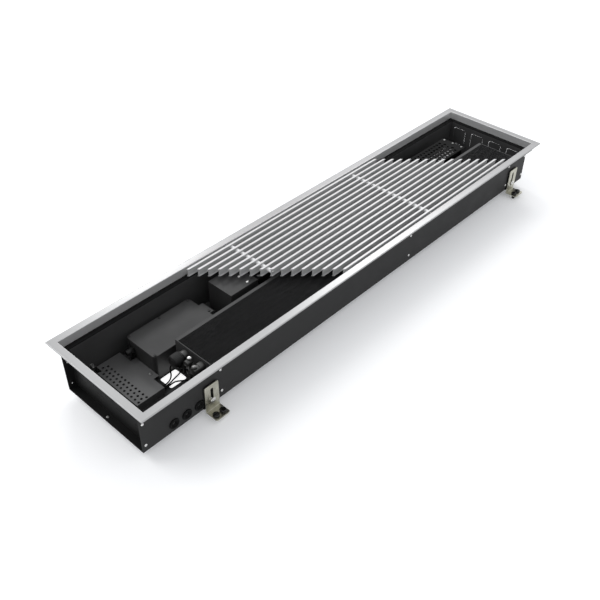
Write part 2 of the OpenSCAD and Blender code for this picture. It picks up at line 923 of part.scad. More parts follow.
module board_places() {
    xs = [box_near + post_inset, box_far - post_inset];
    ys = [box_front + post_inset, box_back - post_inset];
    for (x = xs, y = ys) translate([x, y, 0]) children();
}

module control_box() {
    floor_z = sheet + box_wall;
    color("#3c3c3c") raised() difference() {
        union() {
            difference() {
                translate([0, 0, sheet]) linear_extrude(lid_seat - sheet) box_outline(0);
                translate([0, 0, floor_z]) linear_extrude(box_height) box_outline(box_wall);
            }
            box_screw_places() translate([0, 0, floor_z]) cylinder(h = lid_seat - floor_z, r = boss_d / 2);
            board_places() translate([0, 0, floor_z]) cylinder(h = board_rise, r = post_d / 2);
            ear(lid_seat - ear_thick, lid_seat);
        }
        box_screw_places() translate([0, 0, lid_seat - screw_length])
            cylinder(h = screw_length + overrun, r = box_screw_d / 2 + snug);
        peg_x(box_near - overrun, box_near + box_wall + overrun, box_back - gland_inset, sheet + gland_z,
            gland_neck_d / 2 + snug);
    }
}

module control_lid() {
    color("#4a4a4a") raised() difference() {
        union() {
            translate([0, 0, lid_seat]) linear_extrude(lid_thick) box_outline(0);
            ear(lid_seat, box_top);
        }
        box_screw_places() translate([0, 0, lid_seat - overrun])
            cylinder(h = lid_thick + 2 * overrun, r = box_screw_d / 2 + snug);
    }
}

module box_screw() {
    pan_screw(screw_head_d, screw_head_h, box_screw_d, screw_length);
}

module lid_screws() {
    color("#2a2a2a") raised() {
        box_screw_places() translate([0, 0, box_top]) box_screw();
        translate([ear_screw_x, ear_y + ear_screw_side, box_top]) box_screw();
    }
}

module cable_gland() {
    y = box_back - gland_inset;
    z = sheet + gland_z;
    x_in = box_near + box_wall;
    color("#1d1d1d") raised() difference() {
        union() {
            hex_x(box_near - gland_nut_length, box_near, y, z, gland_d / 2);
            peg_x(box_near - gland_length, box_near - gland_nut_length, y, z, gland_dome_d / 2);
            peg_x(box_near, x_in + gland_nut_in, y, z, gland_neck_d / 2);
            hex_x(x_in, x_in + gland_nut_in, y, z, gland_d / 2);
        }
        peg_x(box_near - gland_length - overrun, x_in + gland_nut_in + overrun, y, z, gland_bore_d / 2);
    }
}

board_z = sheet + box_wall + board_rise;

module circuit_board() {
    m = board_margin;
    color("#2f6b3f") raised() difference() {
        block([box_near + m, box_far - m], [box_front + m, box_back - m], [board_z, board_z + board_thick]);
        board_places() translate([0, 0, board_z - overrun])
            cylinder(h = board_thick + 2 * overrun, r = post_hole_d / 2);
    }
}

// transformer, two capacitors, a relay and a row of terminals on the board
transformer = [38, 34, 28];
relay = [20, 16, 15];
board_terminals = [10, 50, 12];
capacitor_d = 14;
capacitor_h = 24;
board_gap = 12;

module board_parts() {
    z = board_z + board_thick;
    x0 = box_near + post_inset + board_gap;
    x1 = x0 + board_terminals[0] + board_gap;
    x2 = x1 + transformer[0] + board_gap + capacitor_d / 2;
    y0 = box_mid - transformer[1] / 2;
    color("#56564f") raised() {
        translate([x1, y0, z]) cube(transformer);
        translate([x0, box_mid - board_terminals[1] / 2, z]) cube(board_terminals);
        translate([box_far - board_gap - post_inset - relay[0], y0, z]) cube(relay);
        for (s = [-1, 1]) {
            peg_z(z, z + capacitor_h, x2, box_mid + s * capacitor_d * 2 / 3, capacitor_d / 2);
        }
    }
}

module terminal_strip() {
    x0 = near_x + terminal_in;
    y0 = box_front - terminal_front;
    step = terminal_width / terminal_count;
    color("#3a3a38") raised() difference() {
        block([x0, x0 + terminal_length], [y0, y0 + terminal_width], [sheet, sheet + terminal_height]);
        for (i = [0 : terminal_count - 1], s = [1, 3]) {
            peg_z(sheet + terminal_height - terminal_depth, sheet + terminal_height + overrun,
                x0 + s * terminal_length / 4, y0 + (i + 1 / 2) * step, terminal_hole_d / 2);
        }
    }
}

// perforated plate with flanges that stand on the floor, open towards the exchanger
module cover_plate() {
    h = plate_height - sheet;
    tab_y = plate_y0 + tab_from;
    color("#4a4a4a") raised() difference() {
        union() {
            block([plate_x0, plate_x1], [plate_y0, plate_y1], [h, plate_height]);
            block([plate_x0, plate_x1], [plate_y0, plate_y0 + sheet], [sheet, plate_height]);
            block([plate_x0 + notch_length, plate_x1], [plate_y1 - sheet, plate_y1], [sheet, plate_height]);
            block([plate_x1 - sheet, plate_x1 + tab_reach], [tab_y, tab_y + tab_width], [h, plate_height]);
        }
        block([plate_x0 - overrun, plate_x0 + notch_length], [plate_y1 - notch_width, plate_y1 + overrun],
            [h - overrun, plate_height + overrun]);
        for (row = [0 : 2], i = [0 : plate_holes - 1]) {
            x = plate_x0 + plate_row_first + row * plate_row_spacing;
            y = plate_y1 - plate_hole_edge - i * plate_hole_pitch + (row == 1 ? plate_hole_pitch / 3 : 0);
            peg_z(h - overrun, plate_height + overrun, x, y, plate_hole_d / 2);
        }
        peg_z(h - overrun, plate_height + overrun, tab_screw_x, tab_screw_y, screw_d / 2 + snug);
    }
}

// fan

function cover_screws() = [for (i = [0, 1])
    [fan_near - cover_screw_in, fan_front + cover_screw_side + i * cover_screw_pitch]];
function guard_screws() = [for (s = [-1, 0, 1])
    [guard_end - guard_screw_in, fan_mid + s * guard_screw_spread / 2]];

module fan_motor() {
    x1 = fan_near;
    x0 = x1 - motor_length;
    boss_x = x1 + fan_plate + slack;
    color("#6a6a68") raised() difference() {
        union() {
            peg_x(x0, x1, fan_mid, fan_axis_z, motor_d / 2);
            peg_x(x0 - motor_cap_length, x0, fan_mid, fan_axis_z, motor_cap_d / 2);
            peg_x(x1, boss_x, fan_mid, fan_axis_z, motor_boss_d / 2);
        }
        peg_x(x1 - shaft_in - slack, boss_x + overrun, fan_mid, fan_axis_z, shaft_d / 2 + snug);
    }
}

// box over the motor, open below and towards the fan
module motor_cover() {
    y0 = fan_front + cover_shift;
    y1 = y0 + guard_width;
    x1 = fan_near - slack;
    color("#4a4a4a") raised() difference() {
        block([cover_x0, x1], [y0, y1], [cover_low, fan_top]);
        block([cover_x0 + sheet, x1 + overrun], [y0 + sheet, y1 - sheet],
            [cover_low - overrun, fan_top - sheet]);
        for (p = cover_screws()) {
            peg_z(fan_top - sheet - overrun, fan_top + overrun, p[0], p[1], screw_d / 2 + snug);
        }
        peg_z(fan_top - sheet - overrun, fan_top + overrun, fan_near - cover_hole_in,
            fan_front + cover_screw_side + cover_shift, cover_hole_d / 2);
    }
}

module fan_end(x0, out, reach, hole_r) {
    y0 = fan_front + cover_shift + sheet + slack;
    y1 = fan_back - sheet - slack;
    z1 = fan_top - sheet;
    low = out < 0 ? x0 - reach : x0;
    high = out < 0 ? x0 + fan_plate : x0 + fan_plate + reach;
    difference() {
        union() {
            block([x0, x0 + fan_plate], [y0, y1], [sheet, z1]);
            block([low, high], [y0, y1], [z1 - fan_plate, z1]);
            block([low, high], [y0, y1], [sheet, sheet + fan_plate]);
        }
        peg_x(x0 - overrun, x0 + fan_plate + overrun, fan_mid, fan_axis_z, hole_r);
        for (p = out < 0 ? cover_screws() : guard_screws()) {
            peg_z(z1 - fan_plate - overrun, z1 + overrun, p[0], p[1], screw_d / 2 + snug);
        }
    }
}

module fan_end_plates() {
    color("#5a5a5a") raised() {
        fan_end(fan_near, -1, cover_flange, motor_boss_d / 2 + snug);
        fan_end(fan_far - fan_plate, 1, guard_flange - slack, bearing_d / 2 + snug);
    }
}

module fan_bearing() {
    x0 = fan_far - fan_plate / 2 - bearing_length / 2;
    color("#20201f") raised() difference() {
        peg_x(x0, x0 + bearing_length, fan_mid, fan_axis_z, bearing_d / 2);
        peg_x(x0 - overrun, x0 + bearing_length + overrun, fan_mid, fan_axis_z, shaft_d / 2 + snug);
    }
}

fan_x0 = fan_near + fan_plate + impeller_gap;
fan_x1 = fan_far - fan_plate - impeller_gap;

module fan_shaft() {
    color("#b9b9b9") raised()
        peg_x(fan_near - shaft_in, fan_far + shaft_tail, fan_mid, fan_axis_z, shaft_d / 2);
}

module fan_impeller() {
    span = fan_x1 - fan_x0;
    step = (span - disc_thick) / (disc_count - 1);
    color("#9c9c9c") raised() translate([fan_x0, fan_mid, fan_axis_z]) rotate([90, 0, 90]) difference() {
        union() {
            for (i = [0 : blade_count - 1]) {
                linear_extrude(span) rotate(i * 360 / blade_count)
                    translate([impeller_r * blade_root_share, 0]) rotate(blade_angle)
                        square([impeller_r * blade_chord_share, blade_thick]);
            }
            for (i = [0 : disc_count - 1]) {
                translate([0, 0, i * step]) linear_extrude(disc_thick) ring(impeller_r, disc_ring);
            }
            for (z = [0, span - disc_thick]) translate([0, 0, z]) cylinder(h = disc_thick, r = impeller_r);
            for (z = [0, span - hub_length]) translate([0, 0, z]) cylinder(h = hub_length, r = hub_d / 2);
        }
        translate([0, 0, -overrun]) cylinder(h = span + 2 * overrun, r = shaft_d / 2 + snug);
    }
}

// curved sheet behind and below the impeller, flat towards the exchanger
module scroll_profile() {
    r = scroll_r + sheet;
    low = fan_axis_z - r;
    difference() {
        union() {
            translate([fan_mid, fan_axis_z]) circle(r = r);
            translate([fan_mid, fan_axis_z]) square([r, fan_top - 2 * sheet - fan_axis_z]);
            translate([coil_back + scroll_tip, low]) square([fan_mid - coil_back - scroll_tip, r]);
        }
        translate([fan_mid, fan_axis_z]) circle(r = scroll_r);
        translate([fan_mid, fan_axis_z]) square([scroll_r, fan_top]);
        translate([fan_mid - r - overrun, fan_axis_z]) square([r + overrun, fan_top]);
        translate([coil_back, low + sheet]) square([fan_mid - coil_back, fan_top]);
    }
}

module fan_scroll() {
    color("#565656") raised()
        along_x(fan_near + fan_plate, fan_far - fan_plate) scroll_profile();
}

module guard_holes() {
    x0 = fan_near + fan_plate + guard_edge;
    x1 = fan_far - fan_plate - guard_hole_d / 2;
    row = (guard_width - 2 * guard_edge - guard_hole_d / 2) / (guard_rows - 1);
    for (j = [0 : guard_rows - 1]) {
        shift = (j % 2) * guard_pitch / 2;
        for (x = [x0 + shift : guard_pitch : x1]) {
            translate([x, fan_front + guard_edge + guard_hole_d / 4 + j * row]) circle(r = guard_hole_d / 2);
        }
    }
}

module fan_guard() {
    x0 = fan_near;
    z0 = fan_top - sheet;
    color("#4a4a4a") raised() {
        translate([0, 0, z0]) linear_extrude(sheet) difference() {
            translate([x0, fan_front]) square([guard_end - x0, guard_width]);
            guard_holes();
            for (p = guard_screws()) translate(p) circle(r = screw_d / 2 + snug);
        }
        block([x0, fan_far], [fan_front, fan_front + sheet], [fan_top - guard_drop, z0]);
        block([x0, fan_far], [fan_back - sheet, fan_back], [fan_top - guard_drop, z0]);
    }
}

// screws of the cover plate, the motor cover and the guard
module panel_screws() {
    color("#d8d8d8") raised() {
        translate([tab_screw_x, tab_screw_y, plate_height]) sheet_screw();
        for (p = concat(cover_screws(), guard_screws())) translate([p[0], p[1], fan_top]) sheet_screw();
    }
}

// screws in the walls and the end plates' flanges
module wall_screws() {
    ends = [end_screw_inset - half_length, half_length - end_screw_inset];
    color("#dcdcdc") raised() {
        for (x = wall_screw_x(), z = [wall_screw_low, wall_screw_high]) {
            translate([x, -half_width, z]) rotate([90, 0, 0]) sheet_screw();
        }
        for (x = ends, z = [wall_screw_low, wall_screw_high]) {
            translate([x, half_width, z]) rotate([-90, 0, 0]) sheet_screw();
        }
        for (x = ends) translate([x, 0, 2 * sheet]) sheet_screw();
    }
}

module grommets() {
    color("#141414") raised() for (i = [0 : grommet_count - 1]) {
        x = near_x + grommet_first + i * grommet_pitch;
        difference() {
            union() {
                peg_y(-half_width - grommet_lip, -half_width, x, grommet_z, grommet_d / 2);
                peg_y(-half_width, -wall_in, x, grommet_z, grommet_neck_d / 2);
                peg_y(-wall_in, grommet_lip - wall_in, x, grommet_z, grommet_d / 2);
            }
            peg_y(-half_width - grommet_lip - overrun, grommet_lip - wall_in + overrun, x, grommet_z,
                grommet_bore_d / 2);
        }
    }
}

module earth_bolt() {
    x = near_x + earth_in;
    y_in = wall_in - washer_thick;
    color("#dedede") raised() {
        peg_y(wall_in - earth_length, half_width, x, earth_z, earth_d / 2);
        peg_y(y_in, wall_in, x, earth_z, washer_d / 2);
        hex_y(y_in - earth_nut_h, y_in, x, earth_z, earth_nut_d / 2);
        hex_y(half_width, half_width + earth_nut_h, x, earth_z, earth_nut_d / 2);
    }
}

module label_plate() {
    color("white") raised() translate([near_x + label_in, box_front - label_gap - label_width, sheet])
        linear_extrude(label_thick) rounded(label_length, label_width, label_round);
}

// cables: a round section carried along a smooth line through the points

function spline(p, i, t) =
    let (a = p[max(i - 1, 0)], b = p[i], c = p[i + 1], d = p[min(i + 2, len(p) - 1)])
    (2 * b + (c - a) * t + (2 * a - 5 * b + 4 * c - d) * t * t + (3 * b - a - 3 * c + d) * t * t * t) / 2;
function smooth(p) = concat(
    [for (i = [0 : len(p) - 2], k = [0 : cable_steps - 1]) spline(p, i, k / cable_steps)], [p[len(p) - 1]]);
function unit(v) = v / norm(v);
function heading(q, i) = unit(q[min(i + 1, len(q) - 1)] - q[max(i - 1, 0)]);
// a side vector that is carried along the line without twist
function carried(q, i, v) = let (t = heading(q, i)) unit(v - t * (v * t));
function sides(q, i, v) = i >= len(q) ? [] : let (w = carried(q, i, v)) concat([w], sides(q, i + 1, w));

module cable(points, r) {
    q = smooth(points);
    s = sides(q, 0, [0, 0, 1]);
    n = cable_sides;
    last = len(q) - 1;
    rings = [for (i = [0 : last], k = [0 : n - 1])
        q[i] + r * (cos(k * 360 / n) * s[i] + sin(k * 360 / n) * cross(heading(q, i), s[i]))];
    skin = [for (i = [0 : last - 1], k = [0 : n - 1]) let (a = i * n, b = a + n, m = (k + 1) % n)
        each [[a + k, b + k, b + m], [a + k, b + m, a + m]]];
    caps = [[for (k = [0 : n - 1]) k], [for (k = [0 : n - 1]) last * n + n - 1 - k]];
    polyhedron(rings, concat(skin, caps));
}

module inner_cables() {
    color("#161616") raised() {
        cable(actuator_cable, cable_r);
        cable(motor_cable, cable_r);
        cable(sensor_cable, cable_r);
    }
}

// brackets at the rear wall; those at the front are mirror images

module bracket(x) {
    z0 = -foot_drop - bracket_thick;
    r = bracket_round;
    slot_r = slot_width / 2;
    left = x - bracket_width / 2;
    outer = bracket_y + bracket_thick;
    difference() {
        union() {
            translate([left, outer, z0]) rotate([90, 0, 0]) linear_extrude(bracket_thick) {
                rounded(bracket_width, bracket_rise - z0, r);
                square([bracket_width, 2 * r]);
            }
            translate([left, bracket_y, z0]) linear_extrude(bracket_thick) {
                rounded(bracket_width, bracket_reach, r);
                square([bracket_width, 2 * r]);
            }
        }
        block([x - slot_r, x + slot_r], [bracket_y - overrun, outer + overrun],
            [slot_low + slot_r, slot_high - slot_r]);
        for (z = [slot_low + slot_r, slot_high - slot_r]) {
            peg_y(bracket_y - overrun, outer + overrun, x, z, slot_r);
        }
        for (s = [-1, 1] * level_spread / 2) {
            peg_z(z0 - overrun, z0 + bracket_thick + overrun, x + s, level_y, level_d / 2 + snug);
        }
    }
}

module level_screw(x, s) {
    head_z = slack - foot_drop;
    translate([x + s * level_spread / 2, level_y, head_z]) difference() {
        union() {
            cylinder(h = level_head_h, r = level_head_d / 2);
            translate([0, 0, -stand - head_z]) cylinder(h = stand + head_z, r = level_d / 2);
        }
        translate([-level_head_d / 3, -level_slot / 2, level_head_h / 2])
            cube([2 * level_head_d / 3, level_slot, level_head_h]);
    }
}

module at_front() {
    raised() mirror([0, 1, 0]) children();
}

module bracket_front_near() {
    color("#b8b8ac") at_front() bracket(bracket_places[0]);
}

module bracket_front_far() {
    color("#b8b8ac") at_front() bracket(bracket_places[1]);
}

module bracket_rear_near() {
    color("#b8b8ac") raised() bracket(bracket_places[0]);
}

module bracket_rear_far() {
    color("#b8b8ac") raised() bracket(bracket_places[1]);
}

module level_front_near_a() {
    color("#141414") at_front() level_screw(bracket_places[0], -1);
}

module level_front_near_b() {
    color("#141414") at_front() level_screw(bracket_places[0], 1);
}

module level_front_far_a() {
    color("#141414") at_front() level_screw(bracket_places[1], -1);
}

module level_front_far_b() {
    color("#141414") at_front() level_screw(bracket_places[1], 1);
}

module level_rear_near_a() {
    color("#141414") raised() level_screw(bracket_places[0], -1);
}

module level_rear_near_b() {
    color("#141414") raised() level_screw(bracket_places[0], 1);
}

module level_rear_far_a() {
    color("#141414") raised() level_screw(bracket_places[1], -1);
}

module level_rear_far_b() {
    color("#141414") raised() level_screw(bracket_places[1], 1);
}

// rubber pad between a bracket and the wall, wider at its foot
module pad(x) {
    deep = [half_width, half_width + pad_thick];
    difference() {
        union() {
            block([x - pad_width / 2, x + pad_width / 2], deep, [pad_low, pad_high]);
            block([x - pad_foot_width / 2, x + pad_foot_width / 2], deep, [pad_low, pad_low + pad_foot_height]);
        }
        peg_y(deep[0] - overrun, deep[1] + overrun, x, clamp_z, clamp_d / 2 + snug);
    }
}

module bracket_pads() {
    color("#101010") raised() for (x = bracket_places, m = [0, 1]) mirror([0, m, 0]) pad(x);
}

// a bolt through the slot and the wall, with its nut inside
module clamp(x) {
    head_y = bracket_y + bracket_thick + slack;
    difference() {
        union() {
            peg_y(wall_in - clamp_nut_h, head_y, x, clamp_z, clamp_d / 2);
            peg_y(head_y, head_y + clamp_head_h, x, clamp_z, clamp_head_d / 2);
            hex_y(wall_in - clamp_nut_h, wall_in, x, clamp_z, clamp_nut_d / 2);
        }
        hex_y(head_y + clamp_head_h / 2, head_y + 2 * clamp_head_h, x, clamp_z, clamp_d / 3);
    }
}

module clamp_bolts() {
    color("#e2e2e2") raised() for (x = bracket_places, m = [0, 1]) mirror([0, m, 0]) clamp(x);
}

casing_trough();
end_plate_near();
end_plate_far();
frame_front();
frame_rear();
frame_near();
frame_far();
ledge_strips();
grille_bars();
grille_rods();
grille_sleeves();
fins();
hairpin_tubes();
return_bend();
coil_cheeks();
coil_holders();
rim_plate();
supply_valve();
valve_actuator();
actuator_pin();
return_valve();
return_spindle();
air_vent();
vent_screw();
control_box();
control_lid();
lid_screws();
cable_gland();
circuit_board();
board_parts();
terminal_strip();
cover_plate();
panel_screws();
fan_motor();
motor_cover();
fan_shaft();
fan_impeller();
fan_bearing();
fan_scroll();
fan_end_plates();
fan_guard();
wall_screws();
grommets();
earth_bolt();
label_plate();
inner_cables();
bracket_front_near();
bracket_front_far();
bracket_rear_near();
bracket_rear_far();
bracket_pads();
clamp_bolts();
level_front_near_a();
level_front_near_b();
level_front_far_a();
level_front_far_b();
level_rear_near_a();
level_rear_near_b();
level_rear_far_a();
level_rear_far_b();
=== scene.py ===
# %% [markdown]
# # Trench convector heater
# A long steel trough sinks into a channel in the floor. Water warms a finned exchanger along its front
# wall, a cross-flow fan along its rear wall blows room air through the fins, and the warm air rises
# through a grille. The exact solids of the heater are loaded first. Every later step gives a piece its
# finish, or replaces a solid whose real surface is rounder or finer than the solid says.

# %% Load the solids
import json
import math
import bmesh
import bpy
import numpy as np
from mathutils import Matrix


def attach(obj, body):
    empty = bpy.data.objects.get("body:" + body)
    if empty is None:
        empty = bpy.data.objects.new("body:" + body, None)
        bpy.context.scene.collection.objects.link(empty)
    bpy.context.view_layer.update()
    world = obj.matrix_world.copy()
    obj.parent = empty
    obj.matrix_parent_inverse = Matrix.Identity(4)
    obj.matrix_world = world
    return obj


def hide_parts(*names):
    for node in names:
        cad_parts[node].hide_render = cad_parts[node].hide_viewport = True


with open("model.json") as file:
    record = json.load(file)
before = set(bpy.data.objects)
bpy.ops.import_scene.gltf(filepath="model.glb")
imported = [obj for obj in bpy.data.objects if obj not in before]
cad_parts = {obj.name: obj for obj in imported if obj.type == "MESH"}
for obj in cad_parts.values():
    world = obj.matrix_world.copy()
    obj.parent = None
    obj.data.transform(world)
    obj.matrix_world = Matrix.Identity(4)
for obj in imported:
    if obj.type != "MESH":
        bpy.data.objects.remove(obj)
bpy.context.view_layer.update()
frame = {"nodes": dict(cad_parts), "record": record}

MM = 0.001

# %% [markdown]
# ## Camera
# The heater is seen from above its front near corner. A camera is turned by three angles: round the
# object, above the floor, and a slight roll. Building the turn from three unit vectors keeps each angle
# readable, where a typed quaternion wouldn't.

# %% Place the camera
EYE = (-1.1389, -0.9388, 1.1680)
AZIMUTH, ELEVATION, ROLL = (math.radians(a) for a in (-47.63, 40.34, 0.81))
SENSOR, LENS = 36.0, 47.81
NEAREST, FARTHEST = 0.05, 60.0


def camera_turn(azimuth, elevation, roll):
    """Columns right, up and back. Back points from the object to the eye, right is level, and the roll
    turns right and up about back."""
    back = np.array([math.sin(azimuth) * math.cos(elevation), -math.cos(azimuth) * math.cos(elevation),
                     math.sin(elevation)])
    level = np.array([math.cos(azimuth), math.sin(azimuth), 0.0])
    rise = np.cross(back, level)
    right = level * math.cos(roll) + rise * math.sin(roll)
    up = rise * math.cos(roll) - level * math.sin(roll)
    return np.column_stack([right, up, back])


lens = bpy.data.cameras.new("camera")
lens.sensor_width, lens.lens = SENSOR, LENS
lens.clip_start, lens.clip_end = NEAREST, FARTHEST
camera = bpy.data.objects.new("camera", lens)
place = np.eye(4)
place[:3, :3] = camera_turn(AZIMUTH, ELEVATION, ROLL)
place[:3, 3] = EYE
camera.matrix_world = Matrix(place.tolist())
bpy.context.scene.collection.objects.link(camera)
bpy.context.scene.camera = camera
print("lens", LENS, "mm, eye at", EYE)

# %% [markdown]
# ## Light
# A product picture like this one is lit softly from behind. The wide rear lamp lets a pale bluish shadow
# fall to the front. Two smaller lamps stand where the flanges of the frame mirror them to the camera, and
# an even white surrounding fills the rest. A plain view transform leaves white as it is.

# %% Studio
scene = bpy.context.scene
scene.view_settings.view_transform = "Standard"
scene.view_settings.look = "None"

SKY, SKY_STRENGTH = (0.97, 0.98, 1.0), 0.9


def surroundings(colour, strength):
    """A world that gives the same light from all sides."""
    world = bpy.data.worlds.new("surroundings")
    world.use_nodes = True
    background = world.node_tree.nodes["Background"]
    background.inputs["Color"].default_value = (*colour, 1.0)
    background.inputs["Strength"].default_value = strength
    return world


def area_lamp(name, place, aim, width, height, power):
    """A white rectangular lamp whose face looks from place to aim. The unit vector back runs from aim to
    place, right is level, and up is back crossed with right."""
    lamp = bpy.data.lights.new(name, "AREA")
    lamp.shape, lamp.size, lamp.size_y = "RECTANGLE", width, height
    lamp.energy = power
    back = np.array(place, float) - np.array(aim, float)
    back /= np.linalg.norm(back)
    right = np.cross([0.0, 0.0, 1.0], back)
    right /= np.linalg.norm(right)
    turn = np.eye(4)
    turn[:3, :3] = np.column_stack([right, np.cross(back, right), back])
    turn[:3, 3] = place
    holder = bpy.data.objects.new(name, lamp)
    holder.matrix_world = Matrix(turn.tolist())
    scene.collection.objects.link(holder)


scene.world = surroundings(SKY, SKY_STRENGTH)
area_lamp("rear_lamp", (-1.7, 2.2, 2.6), (0.0, 0.0, 0.0), 2.4, 1.4, 40.0)
area_lamp("flank_lamp", (2.4, 1.3, 2.6), (0.0, 0.0, 0.1), 1.2, 0.7, 24.0)
area_lamp("corner_lamp", (1.42, 2.9, 2.6), (-0.4, 0.1, 0.1), 0.7, 0.7, 16.0)

# %% [markdown]
# ## Surfaces from arrays
# Every new piece is a grid of points that numpy works out at once. A grid becomes four-sided faces, and
# several grids are put together as one surface before Blender sees them.

# %% Grid helpers
def skin(points, wrap_u=False, wrap_v=False):
    """Four-sided faces over a grid of points: face (i, j) joins (i, j), (i+1, j), (i+1, j+1) and (i, j+1),
    and a wrapped direction runs on from its last line to its first. Gives points, faces and no caps."""
    rows, cols = points.shape[:2]
    number = np.arange(rows * cols).reshape(rows, cols)
    if wrap_u:
        number = np.vstack([number, number[:1]])
    if wrap_v:
        number = np.hstack([number, number[:, :1]])
    faces = np.stack([number[:-1, :-1], number[1:, :-1], number[1:, 1:], number[:-1, 1:]], axis=-1)
    return points.reshape(-1, 3), faces.reshape(-1, 4), []


def tube_skin(rings):
    """A closed body through rings of points, (ring, point, 3): the skin runs round each ring, and the first
    and last rings are filled by one face each."""
    points, faces, _ = skin(rings, wrap_v=True)
    count, last = rings.shape[1], (rings.shape[0] - 1) * rings.shape[1]
    return points, faces, [np.arange(count)[::-1], last + np.arange(count)]


def together(surfaces):
    """One surface from several: each one's face numbers are raised by the points before it."""
    points, faces, caps, before = [], [], [], 0
    for some_points, some_faces, some_caps in surfaces:
        points.append(some_points)
        faces.append(some_faces + before)
        caps += [cap + before for cap in some_caps]
        before += len(some_points)
    return np.vstack(points), np.vstack(faces), caps


print("a grid of 3 by 4 points has", len(skin(np.zeros((3, 4, 3)))[1]), "faces")

# %% [markdown]
# ## A piece from a surface
# A surface becomes a mesh. Points that fall on each other at a pole or a seam are merged, so that the
# piece is closed, and its faces are turned outwards. Every piece rides on the body that it moves with, and
# takes the place of the solid that it is drawn for.

# %% Piece helper
DOUBLES = 1e-7


def new_piece(name, surface, body, finish, stands_for, sharp=35.0):
    """Puts a surface into a mesh, merges points closer than DOUBLES metres, points the faces outwards,
    shades them smooth where they meet at less than sharp degrees, and lets the piece ride on a body."""
    points, faces, caps = surface
    mesh = bpy.data.meshes.new(name)
    mesh.from_pydata(points.tolist(), [], faces.tolist() + [cap.tolist() for cap in caps])
    work = bmesh.new()
    work.from_mesh(mesh)
    bmesh.ops.remove_doubles(work, verts=work.verts, dist=DOUBLES)
    bmesh.ops.recalc_face_normals(work, faces=work.faces)
    work.to_mesh(mesh)
    work.free()
    mesh.shade_smooth()
    mesh.set_sharp_from_angle(angle=math.radians(sharp))
    mesh.materials.append(finish)
    piece = bpy.data.objects.new(name, mesh)
    scene.collection.objects.link(piece)
    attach(piece, body)
    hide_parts(*stands_for)
    print(f"{name}: {len(mesh.vertices)} points, {len(mesh.polygons)} faces")


print(f"points closer than {DOUBLES / MM:.4f} mm are merged")

# %% [markdown]
# ## Patterns
# Coats, rolled sheet and moulded plastic are never quite even. Noise gives such a pattern. It lies in the
# piece's own coordinates, in metres, so it doesn't slide when a piece moves, and an axis may be stretched
# along the way that a metal was rolled or brushed.

# %% Pattern helpers
NOISE_LOW, NOISE_HIGH = 0.3, 0.7


def noise_of(tree, stretch, scale, detail):
    """Noise over the piece's coordinates, with each axis stretched by its own factor."""
    where = tree.nodes.new("ShaderNodeTexCoord")
    turn = tree.nodes.new("ShaderNodeMapping")
    turn.inputs["Scale"].default_value = stretch
    noise = tree.nodes.new("ShaderNodeTexNoise")
    noise.inputs["Scale"].default_value = scale
    noise.inputs["Detail"].default_value = detail
    tree.links.new(where.outputs["Object"], turn.inputs["Vector"])
    tree.links.new(turn.outputs["Vector"], noise.inputs["Vector"])
    return noise.outputs["Fac"]


def spread_of(tree, value, low, high):
    """Maps a value between NOISE_LOW and NOISE_HIGH, where most of a noise lies, to one between low and
    high. Smaller values give low, larger ones high, so an off or on of 0 or 1 gives low or high."""
    spread = tree.nodes.new("ShaderNodeMapRange")
    spread.inputs["From Min"].default_value = NOISE_LOW
    spread.inputs["From Max"].default_value = NOISE_HIGH
    spread.inputs["To Min"].default_value = low
    spread.inputs["To Max"].default_value = high
    tree.links.new(value, spread.inputs["Value"])
    return spread.outputs["Result"]


print("noise is used between", NOISE_LOW, "and", NOISE_HIGH)

# %% [markdown]
# ## Painted light on the inner faces
# The inner faces of the black trough get light from the bright surroundings at a low angle and look lighter
# than its outer faces, and that light is painted into their colour. One sheet has both faces, so its finish
# asks for the place: within a certain reach of the trough's middle the colour is multiplied, as painted
# light.

# %% Inner tone helper
def painted_inner_light(tree, tone, share, reach):
    """Painted light: multiplies a colour by share where the place lies within reach: the distances along
    and across the trough, both without their sign, are smaller than the two numbers of reach."""
    where = tree.nodes.new("ShaderNodeTexCoord")
    apart = tree.nodes.new("ShaderNodeSeparateXYZ")
    tree.links.new(where.outputs["Object"], apart.inputs["Vector"])
    within = None
    for axis, limit in zip("XY", reach):
        size = tree.nodes.new("ShaderNodeMath")
        size.operation = "ABSOLUTE"
        tree.links.new(apart.outputs[axis], size.inputs[0])
        less = tree.nodes.new("ShaderNodeMath")
        less.operation = "LESS_THAN"
        less.inputs[1].default_value = limit
        tree.links.new(size.outputs[0], less.inputs[0])
        if within is not None:
            both = tree.nodes.new("ShaderNodeMath")
            both.operation = "MULTIPLY"
            tree.links.new(within, both.inputs[0])
            tree.links.new(less.outputs[0], both.inputs[1])
            less = both
        within = less.outputs[0]
    factor = spread_of(tree, within, 1.0, share)
    scaled = tree.nodes.new("ShaderNodeVectorMath")
    scaled.operation = "SCALE"
    tree.links.new(tone, scaled.inputs[0])
    tree.links.new(factor, scaled.inputs["Scale"])
    return scaled.outputs[0]


# Reaches of the painted inner light: the trough's inner faces, and the frame's leg.
TROUGH_REACH, LEG_REACH = (0.6325, 0.1144), (0.64425, 0.12735)
print("inner faces lie within", TROUGH_REACH, "m, the frame's inner faces within", LEG_REACH, "m")

# %% [markdown]
# ## Finishes
# Nearly every surface here is coated or rolled metal, so one recipe serves: a soft cloud of noise moves
# the colour and the roughness a little, and a fine grain lifts the surface by hundredths of a millimetre.

# %% The recipe for a finish
CLOUD_DETAIL, GRAIN_DETAIL, ROUGH_SWING = 4.0, 3.0, 0.06


